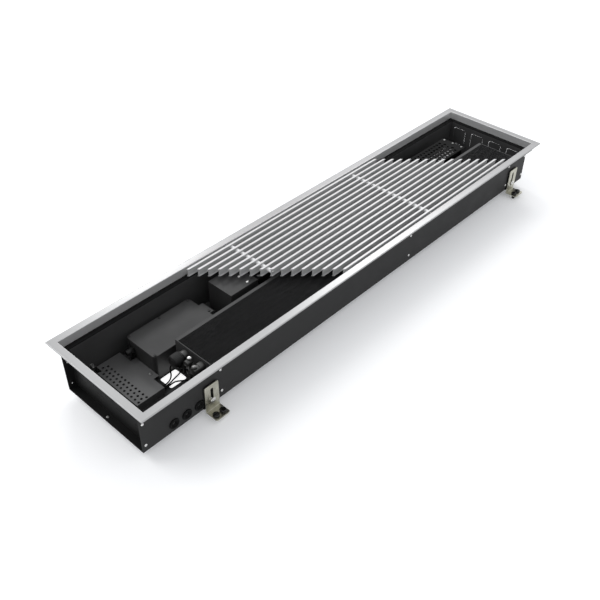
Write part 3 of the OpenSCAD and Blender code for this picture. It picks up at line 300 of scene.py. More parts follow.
def finish_of(name, colour, rough, metal=0.0, cloud=18.0, swing=0.12, grain=900.0, depth=0.02,
              stretch=(1.0, 1.0, 1.0), second=None, inside=1.0, reach=TROUGH_REACH, **sockets):
    """A surface whose colour swings from colour darkened by the share swing to second, or colour itself,
    lightened by it. cloud and grain are the patterns' counts to a metre, depth is the grain's height in
    millimetres, and inside is how much lighter the colour is painted within reach of the trough's middle,
    as painted light."""
    material = bpy.data.materials.new(name)
    material.use_nodes = True
    tree = material.node_tree
    shader = tree.nodes["Principled BSDF"]
    shader.inputs["Metallic"].default_value = metal
    for socket, value in sockets.items():
        shader.inputs[socket.replace("_", " ")].default_value = value
    clouds = noise_of(tree, stretch, cloud, CLOUD_DETAIL)
    low = np.array(colour) * (1 - swing)
    high = np.array(second if second is not None else colour) * (1 + swing)
    mix = tree.nodes.new("ShaderNodeMix")
    mix.data_type = "RGBA"
    mix.inputs["A"].default_value = (*low, 1.0)
    mix.inputs["B"].default_value = (*high, 1.0)
    tree.links.new(spread_of(tree, clouds, 0.0, 1.0), mix.inputs["Factor"])
    tone = mix.outputs["Result"]
    # Painted light: within reach, the colour is made lighter by the factor inside.
    if inside != 1.0:
        tone = painted_inner_light(tree, tone, inside, reach)
    tree.links.new(tone, shader.inputs["Base Color"])
    tree.links.new(spread_of(tree, clouds, rough - ROUGH_SWING, rough + ROUGH_SWING),
                   shader.inputs["Roughness"])
    bump = tree.nodes.new("ShaderNodeBump")
    bump.inputs["Strength"].default_value = 1.0
    bump.inputs["Distance"].default_value = depth * MM
    tree.links.new(noise_of(tree, stretch, grain, GRAIN_DETAIL), bump.inputs["Height"])
    tree.links.new(bump.outputs["Normal"], shader.inputs["Normal"])
    return material


print("a finish's roughness swings by", ROUGH_SWING)

# %% [markdown]
# ## Coated sheets
# The trough and the sheets in it are coated black. The trough and its end sheets have painted light on
# their inner faces, a lighter colour there than outside. The guard over the fan has the darkest colour,
# painted shade for the light that its holes and their rims swallow, and the perforated cover plate is
# greyer than the rest.

# %% Finishes of the coated sheets
COAT_GRAIN = 1300.0
finishes = {
    # Painted light: inside=2.4 lifts the trough's inner faces.
    "black_steel": finish_of("black_steel", (0.019, 0.019, 0.019), 0.55, depth=0.012, grain=COAT_GRAIN,
                             inside=2.4, Specular_IOR_Level=0.2),
    "grey_sheet": finish_of("grey_sheet", (0.026, 0.026, 0.026), 0.5, depth=0.01, grain=COAT_GRAIN),
    "fan_sheet": finish_of("fan_sheet", (0.017, 0.017, 0.017), 0.5, depth=0.01, grain=COAT_GRAIN),
    # Painted shade: the guard's near-black colour stands for the light lost in its holes and rims.
    "guard_sheet": finish_of("guard_sheet", (0.004, 0.004, 0.004), 0.5, depth=0.01, grain=COAT_GRAIN,
                             Specular_IOR_Level=0.05),
    # Painted light and shade: a very dark outer face, lifted 6.4 times on the inner face.
    "end_sheet": finish_of("end_sheet", (0.007, 0.007, 0.007), 0.55, depth=0.012, grain=COAT_GRAIN,
                           inside=6.4, Specular_IOR_Level=0.12),
    "plate_sheet": finish_of("plate_sheet", (0.072, 0.072, 0.072), 0.5, depth=0.01, grain=COAT_GRAIN),
    "black_fins": finish_of("black_fins", (0.013, 0.013, 0.0135), 0.5, swing=0.2),
    "coated_copper": finish_of("coated_copper", (0.012, 0.012, 0.012), 0.4, depth=0.01),
    "motor_grey": finish_of("motor_grey", (0.12, 0.12, 0.12), 0.45),
    "dark_steel": finish_of("dark_steel", (0.03, 0.03, 0.03), 0.4, metal=0.6),
}
print("coated:", sorted(finishes))

# %% [markdown]
# ## Bare metals
# Bare metals take their colour from what they mirror. Extruded aluminium has fine lines along its
# length, made by the die, so its grain is stretched that way. The leg of the frame hangs in the opening,
# and its lighter colour there is painted light, so the frame's finish is lighter inside too. Zinc plate is
# cloudy and faintly olive.

# %% Finishes of the bare metals
ALONG_X = (0.02, 1.0, 1.0)
ALONG_Y = (1.0, 0.02, 1.0)
DIE_GRAIN = 1500.0
finishes |= {
    # Painted light: inside=1.9 lifts the frame's leg within LEG_REACH, on both frame finishes.
    "anodised": finish_of("anodised", (0.38, 0.38, 0.38), 0.34, 0.6, swing=0.04, depth=0.004,
                          grain=DIE_GRAIN, stretch=ALONG_X, inside=1.9, reach=LEG_REACH),
    "anodised_across": finish_of("anodised_across", (0.38, 0.38, 0.38), 0.34, 0.6, swing=0.04,
                                 depth=0.004, grain=DIE_GRAIN, stretch=ALONG_Y, inside=1.9,
                                 reach=LEG_REACH),
    "bar_aluminium": finish_of("bar_aluminium", (0.57, 0.57, 0.57), 0.42, 0.3, swing=0.05, depth=0.004,
                               grain=DIE_GRAIN, stretch=ALONG_X),
    "impeller_aluminium": finish_of("impeller_aluminium", (0.93, 0.93, 0.93), 0.35, 0.3),
    "sleeve_aluminium": finish_of("sleeve_aluminium", (0.9, 0.9, 0.9), 0.4, 0.1, swing=0.03, depth=0.003),
    "bright_steel": finish_of("bright_steel", (0.78, 0.78, 0.77), 0.24, 1.0, swing=0.05, depth=0.003),
    "dull_steel": finish_of("dull_steel", (0.28, 0.28, 0.275), 0.4, 1.0, swing=0.1, depth=0.005),
    "zinc": finish_of("zinc", (0.43, 0.42, 0.35), 0.3, 1.0, cloud=60.0, swing=0.1, depth=0.006,
                      second=(0.50, 0.49, 0.42)),
    "nickel_brass": finish_of("nickel_brass", (0.10, 0.10, 0.098), 0.42, 0.9),
}
print("finishes so far:", len(finishes))

# %% [markdown]
# ## Rubber and plastics
# Rubber and plastics reflect little and evenly. Their grain is the texture of the mould. The label is
# smooth, and a slight glow of its own, painted light, keeps it white in the shade at the bottom of the
# trough.

# %% Finishes of rubber and plastic
finishes |= {
    "black_rubber": finish_of("black_rubber", (0.004, 0.004, 0.004), 0.7, grain=700.0,
                              Specular_IOR_Level=0.1),
    "black_plastic": finish_of("black_plastic", (0.006, 0.006, 0.006), 0.4, depth=0.01,
                               Specular_IOR_Level=0.3),
    "screw_black": finish_of("screw_black", (0.003, 0.003, 0.003), 0.25, depth=0.004),
    "knob_plastic": finish_of("knob_plastic", (0.007, 0.007, 0.007), 0.5, depth=0.012,
                              Specular_IOR_Level=0.3),
    "grey_plastic": finish_of("grey_plastic", (0.021, 0.021, 0.021), 0.5, depth=0.015, grain=1100.0,
                              Specular_IOR_Level=0.42),
    "terminal_plastic": finish_of("terminal_plastic", (0.04, 0.04, 0.039), 0.5),
    "board_green": finish_of("board_green", (0.02, 0.12, 0.04), 0.3),
    "board_parts": finish_of("board_parts", (0.06, 0.06, 0.055), 0.4),
    # Painted light: the label glows though it is no lamp, so that it stays white in the shade of the
    # trough.
    "white_label": finish_of("white_label", (0.93, 0.93, 0.93), 0.35, swing=0.02, depth=0.002,
                             Emission_Color=(1.0, 1.0, 1.0, 1.0), Emission_Strength=0.8),
}
print("finishes in all:", len(finishes))

# %% [markdown]
# ## Dress the solids
# Each solid names the slot of its material, and the finish of that name goes onto it. Sheets of one slot
# may still differ: a few have a finish of their own.

# %% Finish on every solid
OWN_FINISH = {"motor_cover": "fan_sheet", "rim_plate": "fan_sheet", "fan_guard": "guard_sheet",
              "cover_plate": "plate_sheet", "end_plate_near": "end_sheet", "end_plate_far": "end_sheet"}
slot_of = {part["node"]: part["material_slot"] for part in frame["record"]["subparts"]}
for node, slot in slot_of.items():
    solid = frame["nodes"][node]
    solid.data.materials.clear()
    solid.data.materials.append(finishes[OWN_FINISH.get(node, slot)])
print("dressed", len(slot_of), "solids,", len(OWN_FINISH), "of them in a finish of their own")

# %% [markdown]
# ## Outlines
# No real edge is perfectly sharp: an extruded bar leaves its die with small roundings, and a moulded knob
# has larger ones. They are what catches the light. So an outline is drawn with its corners already eased,
# and is then drawn out along a line. All outlines are in millimetres. The trough stands 20.5 mm above the
# ground, so STAND is added to every height that is measured from the trough's underside.

# %% Outline helpers
STAND = 20.5
HOLD = 1.2


def eased(corners, cut, steps=4):
    """Each corner of a closed outline becomes a short curve that leaves one side at the distance cut before
    the corner and joins the next side as far after it. The curve is (1 - t)^2 start + 2 t (1 - t) corner
    + t^2 end. One more point lies on each side at HOLD times cut from the corner, so that the shading of
    the curve doesn't spread over the flat side."""
    corner = np.array(corners, float)
    reach = np.broadcast_to(np.asarray(cut, float), len(corner))[:, None]
    before, after = np.roll(corner, 1, axis=0) - corner, np.roll(corner, -1, axis=0) - corner
    before = before / np.linalg.norm(before, axis=1, keepdims=True) * reach
    after = after / np.linalg.norm(after, axis=1, keepdims=True) * reach
    start, end = corner + before, corner + after
    t = np.linspace(0.0, 1.0, steps + 1)[None, :, None]
    curve = (1 - t) ** 2 * start[:, None] + 2 * t * (1 - t) * corner[:, None] + t ** 2 * end[:, None]
    held = [(corner + HOLD * before)[:, None], curve, (corner + HOLD * after)[:, None]]
    return np.concatenate(held, axis=1).reshape(-1, 2)


def drawn(outline, first, last):
    """The outline (across, up) drawn out from first to last: two rings of points (along, across, up), where
    each point of the outline may begin and end at its own distance."""
    across, up = outline.T
    ends = [np.broadcast_to(np.asarray(end, float), across.shape) for end in (first, last)]
    return np.stack([np.stack([end, across, up], axis=-1) for end in ends])


print("a square with eased corners has", len(eased([(0, 0), (9, 0), (9, 9), (0, 9)], 1.0)), "points")

# %% [markdown]
# ## Turned bodies
# Rods, knobs, screws and grommets are round. A lathe gives them their form from one outline, and so does
# this helper.

# %% Turned bodies
def rim_of(axis, sides):
    """Unit vectors round an axis, as many as there are sides, and the axis as a unit vector."""
    axis = np.array(axis, float) / np.linalg.norm(axis)
    side = np.cross(axis, (0.0, 0.0, 1.0) if abs(axis[2]) < 0.9 else (1.0, 0.0, 0.0))
    side /= np.linalg.norm(side)
    angle = np.linspace(0.0, 2 * math.pi, sides, endpoint=False)[:, None]
    return np.cos(angle) * side + np.sin(angle) * np.cross(axis, side), axis


def turned(outline, place, axis, sides, hollow=False):
    """A body turned round an axis through place. The outline holds (distance along the axis, radius), where
    the radius is one number or one for each side. A hollow body's outline runs round and closes."""
    rim, axis = rim_of(axis, sides)
    rings = np.stack([np.array(place, float) + along * axis + np.reshape(radius, (-1, 1)) * rim
                      for along, radius in outline]) * MM
    return skin(rings, wrap_u=True, wrap_v=True) if hollow else tube_skin(rings)


short_rod = turned([(0.0, 1.0), (9.0, 1.0)], (0, 0, 0), (0, 0, 1), 24)
print("a short rod has", len(short_rod[1]), "faces and", len(short_rod[2]), "ends")

# %% [markdown]
# ## Grille bars
# Each bar is an extrusion with a flat head, a thin web and a foot. All sixteen are cut off along the same
# slanting line, so the end of a bar depends on how far across the trough it lies. The rod holes don't
# show, because the rods fill them, so the bars are drawn out whole.

# %% Bars
FRAME_TOP, BAR_LOW = 115.0 + STAND, 96.3 + STAND
BAR_COUNT, BAR_FIRST = 16, -117.98
HEAD, WEB, FOOT = (5.0, 2.0), 1.6, (4.0, 1.6)
CUT_NEAR, CUT_FAR, CUT_SLOPE = -217.0, 409.0, math.tan(math.radians(43.8))
bar_y = np.linspace(BAR_FIRST, -BAR_FIRST, BAR_COUNT)

half_bar = np.array([(FOOT[0] / 2, BAR_LOW), (FOOT[0] / 2, BAR_LOW + FOOT[1]), (WEB / 2, BAR_LOW + FOOT[1]),
                     (WEB / 2, FRAME_TOP - HEAD[1]), (HEAD[0] / 2, FRAME_TOP - HEAD[1]),
                     (HEAD[0] / 2, FRAME_TOP)])
bar_corners = np.vstack([half_bar, half_bar[::-1] * (-1, 1)])
bar_outline = eased(bar_corners, [0.3, 0.3, 0.5, 0.5, 0.3, 0.6, 0.6, 0.3, 0.5, 0.5, 0.3, 0.3])
bars = []
for y in bar_y:
    outline = bar_outline + (y, 0.0)
    bars.append(tube_skin(drawn(outline, CUT_NEAR - outline[:, 0] * CUT_SLOPE,
                                CUT_FAR - outline[:, 0] * CUT_SLOPE) * MM))
new_piece("grille_bar_set", together(bars), "grille", finishes["bar_aluminium"],
          ["grille_bars"])

# %% [markdown]
# ## Rods and sleeves
# Two rods run across the grille, and bright sleeves on them keep the bars apart. Because of the slant, a
# rod only reaches the bars that don't end before it.

# %% Rods and sleeves
ROD_PLACES, ROD_Z, ROD_RADIUS, SLEEVE_RADIUS = (-205.0, 205.0), 106.0 + STAND, 2.5, 4.5
BAR_MARGIN, ROD_END, ROD_CHAMFER, SLEEVE_CHAMFER, ROUND_SIDES = 4.0, 1.2, 0.8, 0.3, 24
rods, sleeves = [], []
for x in ROD_PLACES:
    held = [y for y in bar_y
            if CUT_NEAR - y * CUT_SLOPE + BAR_MARGIN < x < CUT_FAR - y * CUT_SLOPE - BAR_MARGIN]
    reach = (held[-1] - held[0]) / 2 + WEB / 2 + ROD_END
    middle = (held[-1] + held[0]) / 2
    tip, shoulder = ROD_RADIUS - ROD_CHAMFER, reach - ROD_CHAMFER
    rod = [(-reach, 0.0), (-reach, tip), (-shoulder, ROD_RADIUS), (shoulder, ROD_RADIUS), (reach, tip),
           (reach, 0.0)]
    rods.append(turned(rod, (x, middle, ROD_Z), (0, 1, 0), ROUND_SIDES))
    for y0, y1 in zip(held[:-1], held[1:]):
        length, edge = y1 - y0 - WEB, SLEEVE_RADIUS - SLEEVE_CHAMFER
        tube = [(SLEEVE_CHAMFER, SLEEVE_RADIUS), (length - SLEEVE_CHAMFER, SLEEVE_RADIUS), (length, edge),
                (length, ROD_RADIUS), (0.0, ROD_RADIUS), (0.0, edge)]
        sleeves.append(turned(tube, (x, y0 + WEB / 2, ROD_Z), (0, 1, 0), ROUND_SIDES, hollow=True))
new_piece("grille_rod_pair", together(rods), "grille", finishes["bright_steel"],
          ["grille_rods"])
new_piece("spacer_sleeves", together(sleeves), "grille", finishes["sleeve_aluminium"],
          ["grille_sleeves"])

# %% [markdown]
# ## Frame
# The frame is one angle profile, cut into four lengths with mitres. At a mitre a point of the profile
# ends as much further out as it lies from the inner face, so the outline itself gives both cuts. The leg's
# inner face and the flange's top meet in the small round that runs as a bright line along every side.

# %% Frame angles
OPENING_X, OPENING_Y = 643.85, 126.95
LEDGE, UNDER = 94.0 + STAND, 112.0 + STAND
LEG, FLANGE = 1.5, 16.5
angle_corners = [(0, LEDGE), (LEG, LEDGE), (LEG, UNDER), (FLANGE, UNDER), (FLANGE, FRAME_TOP),
                 (0, FRAME_TOP)]
angle_outline = eased(angle_corners, [0.3, 0.3, 0.8, 0.5, 1.2, 0.9])


def frame_side(name, half, middle, turn, finish, stands_for):
    """One mitred angle: drawn out along a side of the opening, half its length each way, then turned about
    the vertical by whole quarters so that its flange points away from the opening."""
    out = angle_outline[:, 0]
    rings = drawn(angle_outline + (middle, 0.0), -half - out, half + out)
    c, s = (round(f(math.radians(turn))) for f in (math.cos, math.sin))
    spin = np.array([[c, s, 0], [-s, c, 0], [0, 0, 1]], float)
    new_piece(name, tube_skin(rings @ spin * MM), "casing", finishes[finish], [stands_for])


frame_side("rear_angle", OPENING_X, OPENING_Y, 0, "anodised", "frame_rear")
frame_side("near_angle", OPENING_Y, OPENING_X, 90, "anodised_across", "frame_near")
frame_side("front_angle", OPENING_X, OPENING_Y, 180, "anodised", "frame_front")
frame_side("far_angle", OPENING_Y, OPENING_X, 270, "anodised_across", "frame_far")

# %% [markdown]
# ## Fins
# The exchanger's fins are thin sheets, a little over two millimetres apart, pressed into waves that stir
# the air. From above, the crests of all the fins line up and show as faint lines along the pack. The
# solids hold fewer and flat fins. Here every fin is a strip whose distance along the pack follows a sine
# of the distance across it.

# %% Fin pack
COIL_X, COIL_Y = (-471.5, 585.5), (-108.0, -14.0)
COIL_Z = (30.0 + STAND, 92.0 + STAND)
END_SPACE, FIN_STEP, FIN_THICK, WAVE, WAVE_COUNT, POINTS = 1.4, 2.2, 0.25, 0.4, 7, 29
fin_x = np.arange(COIL_X[0] + END_SPACE, COIL_X[1] - END_SPACE, FIN_STEP)
across = np.linspace(0.0, 1.0, POINTS)
wave = WAVE * np.sin(across * WAVE_COUNT * 2 * math.pi)
y_line = COIL_Y[0] + across * (COIL_Y[1] - COIL_Y[0])
loop_y = np.concatenate([y_line, y_line[::-1]])
loop_x = np.concatenate([wave - FIN_THICK / 2, wave[::-1] + FIN_THICK / 2])
fins = []
for x in fin_x:
    rings = np.stack([np.stack([x + loop_x, loop_y, np.full_like(loop_y, z)], axis=-1) for z in COIL_Z])
    sheet_points, sheet_faces, _ = skin(rings * MM, wrap_v=True)
    count, low_side = len(loop_y), np.arange(POINTS - 1)
    cap = np.stack([low_side, low_side + 1, count - 2 - low_side, count - 1 - low_side], axis=-1)
    fins.append((sheet_points, np.vstack([sheet_faces, cap[:, ::-1], cap + count]), []))
new_piece("fin_pack", together(fins), "casing", finishes["black_fins"], ["fins"], sharp=50.0)

# %% [markdown]
# ## Fan rotor
# The blades of a cross-flow rotor are narrow strips of sheet, curved like the slats of a water wheel and
# held by rings. The solids keep them flat. A blade's outline follows an arc: its turn about the shaft grows
# with the square of the way from the root to the tip. The rings and the end discs are turned.

# %% Rotor
ROTOR_X, AXIS_Y, AXIS_Z = (-224.5, 517.5), 43.0, 57.0 + STAND
ROTOR_RADIUS, TIP_RADIUS, ROOT_RADIUS, RING_BORE, SHAFT_BORE = 29.0, 28.7, 21.5, 20.0, 3.05
BLADE_COUNT, BLADE_THICK, BLADE_TURN, RING_COUNT, RING_THICK, WHEEL_SIDES = 24, 0.8, 22.0, 7, 1.6, 64
way = np.linspace(0.0, 1.0, 9)
blade_radius = ROOT_RADIUS + (TIP_RADIUS - ROOT_RADIUS) * way
blade_turn = math.radians(BLADE_TURN) * way ** 2
rotor = []
for start in np.linspace(0.0, 2 * math.pi, BLADE_COUNT, endpoint=False):
    flank = []
    for side in (-1, 1):
        angle = start + blade_turn + side * BLADE_THICK / 2 / blade_radius
        flank.append(np.column_stack([blade_radius * np.cos(angle), blade_radius * np.sin(angle)])[::-side])
    outline = np.vstack(flank) + (AXIS_Y, AXIS_Z)
    rotor.append(tube_skin(drawn(outline, *ROTOR_X) * MM))
ring_corners = [(0.0, RING_BORE), (0.0, ROTOR_RADIUS), (RING_THICK, ROTOR_RADIUS), (RING_THICK, RING_BORE)]
for x in np.linspace(ROTOR_X[0], ROTOR_X[1] - RING_THICK, RING_COUNT + 2)[1:-1]:
    rotor.append(turned(eased(ring_corners, 0.3, 2), (x, AXIS_Y, AXIS_Z), (1, 0, 0), WHEEL_SIDES,
                        hollow=True))
disc = [(0.0, SHAFT_BORE), (0.0, 28.6), (0.4, ROTOR_RADIUS), (1.2, ROTOR_RADIUS), (1.6, 28.6),
        (1.6, 7.6), (2.2, 7.0), (7.5, 7.0), (8.0, 6.5), (8.0, SHAFT_BORE)]
for x, way_in in ((ROTOR_X[0], 1), (ROTOR_X[1], -1)):
    rotor.append(turned(disc, (x, AXIS_Y, AXIS_Z), (way_in, 0, 0), WHEEL_SIDES, hollow=True))
new_piece("fan_rotor_wheel", together(rotor), "fan_rotor", finishes["impeller_aluminium"],
          ["fan_impeller"])

# %% [markdown]
# ## Nuts
# A nut is a hexagon whose corners are turned down at both ends, as a lathe leaves them. It is turned like
# a round body, only with a radius that changes with the angle.

# %% Nut helpers
NUT_SIDES, NUT_TAPER = 72, 0.13


def hexagon(sides):
    """The radius of a hexagon with corners at the radius 1, for each side of a turned body."""
    angle = np.linspace(0.0, 360.0, sides, endpoint=False) % 60.0 - 30.0
    return math.cos(math.radians(30.0)) / np.cos(np.radians(angle))


def hex_nut(place, axis, corner_radius, height, bore=0.0):
    """A nut: its radius is the hexagon's, but no more than that of a cone that cuts the corners off at both
    ends. A nut without a bore is closed."""
    shape = hexagon(NUT_SIDES) * corner_radius
    end = np.minimum(shape, corner_radius * (1 - NUT_TAPER))
    step = corner_radius * NUT_TAPER * 0.5
    outline = [(0.0, bore), (0.0, end), (step, shape), (height - step, shape), (height, end),
               (height, bore)]
    return turned(outline, place, axis, NUT_SIDES, hollow=bore > 0.0)


print("a hexagon's radius runs from", round(hexagon(NUT_SIDES).min(), 3), "to 1")

# %% [markdown]
# ## Valve actuator
# The actuator is a moulded knob whose grip has ribs: along the grip, the radius falls and rises with the
# angle. A nut holds it to the supply valve.

# %% Actuator
SUPPLY_FACE = (-488.5, -37.5, 75.0 + STAND)
KNOB_RADIUS, KNOB_SIDES, RIB_COUNT, RIB_DEPTH = 14.0, 168, 28, 0.3
rib_angle = np.linspace(0.0, 2 * math.pi, KNOB_SIDES, endpoint=False) * RIB_COUNT
ribs = KNOB_RADIUS - RIB_DEPTH * (1 + np.cos(rib_angle))
knob = [(0.0, 0.0), (0.0, 13.4), (0.6, KNOB_RADIUS), (2.2, KNOB_RADIUS), (3.0, 13.6), (3.4, ribs),
        (15.6, ribs), (16.2, 13.7), (17.4, 13.3), (18.6, 12.6), (19.5, 11.6), (20.0, 10.4), (20.0, 9.4),
        (19.5, 9.0), (19.5, 8.4), (20.0, 8.0), (20.0, 0.0)]
actuator = [turned(knob, SUPPLY_FACE, (-1, 0, 0), KNOB_SIDES), hex_nut(SUPPLY_FACE, (1, 0, 0), 12.0, 4.0)]
new_piece("actuator_knob", together(actuator), "casing", finishes["knob_plastic"],
          ["valve_actuator"], sharp=40.0)

# %% [markdown]
# ## Cable gland
# A gland leads a cable through the wall of the control box. One nut sits outside and one inside, and the
# cap closes round the cable.

# %% Gland
GLAND, GLAND_BORE, GLAND_CORNER, GLAND_SIDES = np.array((-516.5, 77.0, 40.0 + STAND)), 3.5, 8.5, 48
gland_cap = [(7.6, 7.0), (13.6, 7.0), (15.8, 6.5), (17.2, 5.6), (18.0, 4.4), (18.0, GLAND_BORE),
             (7.6, GLAND_BORE)]
gland_neck = [(-7.4, GLAND_BORE), (-7.4, 6.0), (0.2, 6.0), (0.2, GLAND_BORE)]
gland = [hex_nut(GLAND, (-1, 0, 0), GLAND_CORNER, 8.0, GLAND_BORE),
         hex_nut(GLAND + (2.0, 0, 0), (1, 0, 0), GLAND_CORNER, 5.0, GLAND_BORE)]
gland += [turned(outline, GLAND, (-1, 0, 0), GLAND_SIDES, hollow=True)
          for outline in (gland_cap, gland_neck)]
new_piece("box_gland", together(gland), "casing", finishes["black_plastic"],
          ["cable_gland"])

# %% [markdown]
# ## Grommets
# Three rubber grommets sit in the front wall. Such a grommet is one turned shape: a soft lip outside, a
# groove that grips the sheet, a lip inside, and a thinner web that steps down to the hole.

# %% Grommets
GROMMET_X, GROMMET_Y, GROMMET_Z, GROMMET_SIDES = (-575.5, -544.5, -513.5), -117.5, 19.4 + STAND, 48
grommet_outline = [(0.9, 11.5), (0.3, 11.1), (0.0, 10.3), (0.0, 8.8), (0.4, 8.1), (1.3, 7.7), (1.5, 6.6),
                   (0.9, 5.9), (0.7, 5.3), (1.1, 5.0), (5.6, 5.0), (6.2, 5.6), (6.2, 10.4), (5.5, 11.5),
                   (4.1, 11.5), (3.7, 11.2), (3.7, 9.0), (2.5, 9.0), (2.5, 11.3), (2.2, 11.5)]
grommet_set = [turned(grommet_outline, (x, GROMMET_Y, GROMMET_Z), (0, 1, 0), GROMMET_SIDES, hollow=True)
               for x in GROMMET_X]
new_piece("wall_grommets", together(grommet_set), "casing", finishes["black_rubber"],
          ["grommets"])

# %% [markdown]
# ## Screw heads
# A head is a low dome with a slot. A slot can't be turned, so the part of the dome above the slot's floor
# is made of two halves with a gap between them.

# %% Head helpers
ARC_POINTS = 20


def slotted_head(place, axis, across, outline, slot):
    """A screw head with a slot. Below the slot's floor it is turned, and above it stand two halves whose
    rings are arcs, each closed by a chord at the slot's side. The outline holds (height, radius), and its
    second entry is the floor of the slot."""
    axis, across = (np.array(v, float) for v in (axis, across))
    other = np.cross(axis, across)
    low = [(0.0, 0.0), (0.0, outline[0][1]), outline[1], (outline[1][0], 0.0)]
    surfaces = [turned(low, place, axis, 2 * ARC_POINTS)]
    for side in (1, -1):
        rings = []
        for height, radius in outline[1:]:
            start = math.asin(min(slot / 2 / radius, 1.0))
            turn = np.linspace(start, math.pi - start, ARC_POINTS)[:, None]
            rings.append(np.array(place, float) + height * axis
                         + radius * (np.cos(turn) * across + side * np.sin(turn) * other))
        surfaces.append(tube_skin(np.stack(rings) * MM))
    return surfaces


def pan_head(place, axis, across, radius, height, slot):
    """A low domed head with a slot to half its depth."""
    dome = [(0.0, radius), (0.45 * height, radius * 0.97)]
    dome += [(height * h, radius * r) for h, r in ((0.6, 0.93), (0.78, 0.83), (0.92, 0.66), (1.0, 0.45))]
    return slotted_head(place, axis, across, dome, slot)


plain_head = pan_head((0, 0, 0), (0, 0, 1), (1, 0, 0), 3.2, 1.9, 1.0)
print("a slotted head is made of", len(plain_head), "surfaces")

# %% [markdown]
# ## Screws
# Each screw is a head and a shank with a pointed end. The slots of a row of screws never line up in
# reality, so every screw is turned by an angle of its own. The numbers of the generator start from a fixed
# seed, and the screws come out the same every time.

# %% Wall and floor screws
chance = np.random.default_rng(7)
SLOT_WIDTH, SHANK_LENGTH, SHANK_SIDES = 1.0, 7.0, 20


def screw(place, axis, radius=3.2, height=1.9, shank=1.9):
    """A head on place, looking along axis, with its shank behind it, and its slot turned at random."""
    rim, axis = rim_of(axis, 360)
    across = rim[chance.integers(0, 360)]
    point = [(-SHANK_LENGTH, 0.0), (-SHANK_LENGTH + 0.2, 0.6 * shank), (-SHANK_LENGTH + 1.0, shank),
             (0.05, shank), (0.05, 0.0)]
    head = pan_head(place, axis, across, radius, height, SLOT_WIDTH)
    return head + [turned(point, place, axis, SHANK_SIDES)]


WALL_Y, END_X, FLOOR_SHEET = 115.0, 642.5, 2.4 + STAND
FRONT_X, REAR_X = (-END_X, -456.46, 140.74, 565.48, END_X), (-END_X, END_X)
wall_heads = []
for z in (16.8 + STAND, 73.0 + STAND):
    for x in FRONT_X:
        wall_heads += screw((x, -WALL_Y, z), (0, -1, 0))
    for x in REAR_X:
        wall_heads += screw((x, WALL_Y, z), (0, 1, 0))
new_piece("wall_screw_set", together(wall_heads), "casing", finishes["bright_steel"],
          ["wall_screws"])
floor_heads = [part for x in REAR_X for part in screw((x, 0.0, FLOOR_SHEET), (0, 0, 1))]
new_piece("floor_screw_pair", together(floor_heads), "casing", finishes["dull_steel"],
          ["wall_screws"])

# %% [markdown]
# ## Screws of the covers and valves
# The motor's hood has bright screws, the guard and the cover plate have duller ones, and the lid's are
# dark. A larger screw closes the return valve and one the air vent: LARGE holds the head's radius and
# height and the shank's radius.

# %% Cover and valve screws
FAN_TOP, PLATE_TOP, LID_TOP = 92.0 + STAND, 21.0 + STAND, 62.0 + STAND
panel_places = {"hood_screw_pair": [(-254.0, 19.4, FAN_TOP), (-254.0, 44.6, FAN_TOP)],
                "guard_screw_row": [(534.5, 16.0, FAN_TOP), (534.5, 43.0, FAN_TOP), (534.5, 70.0, FAN_TOP)],
                "cover_tab_screw": [(-526.0, 15.0, PLATE_TOP)]}
for name, places in panel_places.items():
    heads = [part for place in places for part in screw(place, (0, 0, 1))]
    dress = finishes["bright_steel" if name == "hood_screw_pair" else "dull_steel"]
    new_piece(name, together(heads), "casing", dress, ["panel_screws"])

lid_places = [(x, y, LID_TOP) for x in (-510.5, -434.5, -358.5) for y in (12.5, 92.5)]
lid_places.append((-349.4, 35.2, LID_TOP))
lid_heads = [part for place in lid_places for part in screw(place, (0, 0, 1), shank=1.5)]
new_piece("lid_screw_set", together(lid_heads), "casing", finishes["dark_steel"],
          ["lid_screws"])

RETURN_PLACE, VENT_PLACE = (-493.5, -84.5, 86.55 + STAND), (-485.0, -61.0, 87.56 + STAND)
LARGE = (3.5, 2.0, 2.5)
new_piece("return_valve_screw", together(screw(RETURN_PLACE, (0, 0, 1), *LARGE)), "return_screw",
          finishes["dull_steel"], ["return_spindle"])
new_piece("bleed_valve_screw", together(screw(VENT_PLACE, (0, 0, 1), *LARGE)), "bleed_screw",
          finishes["bright_steel"], ["vent_screw"])

# %% [markdown]
# ## Levelling screws
# A levelling screw carries the heater's weight on its point, so it has a full thread. The thread is one
# surface over two parameters, the distance along the screw and the angle round it: the radius falls and
# rises once for every turn that the two together make.

# %% Levelling screws
BRACKETS = {"near": -484.5, "far": 589.0}
LEVEL_Y, LEVEL_HEAD_Z, LEVEL_APART, LEVEL_SLOT = 137.5, 12.8, 8.6, 1.6
LEVEL_RADIUS, LEVEL_PITCH, LEVEL_DEPTH = 4.0, 1.25, 0.6
THREAD_SIDES, TURN_STEPS = 24, 6


def threaded(place, axis, length, radius, pitch, depth):
    """A threaded rod. Its radius is a triangle wave of (distance / pitch - angle / whole turn), which has
    its full depth from one pitch after the start."""
    along = np.linspace(0.0, length, int(length / pitch * TURN_STEPS) + 1)
    turn = np.arange(THREAD_SIDES) / THREAD_SIDES
    phase = (along[:, None] / pitch - turn[None, :]) % 1.0
    fade = np.clip(along / pitch, 0.0, 1.0)[:, None]
    radii = radius - depth * (1.0 - fade) - depth * np.abs(2 * phase - 1.0) * fade
    outline = [(along[0], 0.0)] + list(zip(along, radii)) + [(along[-1], 0.0)]
    return turned(outline, place, axis, THREAD_SIDES)


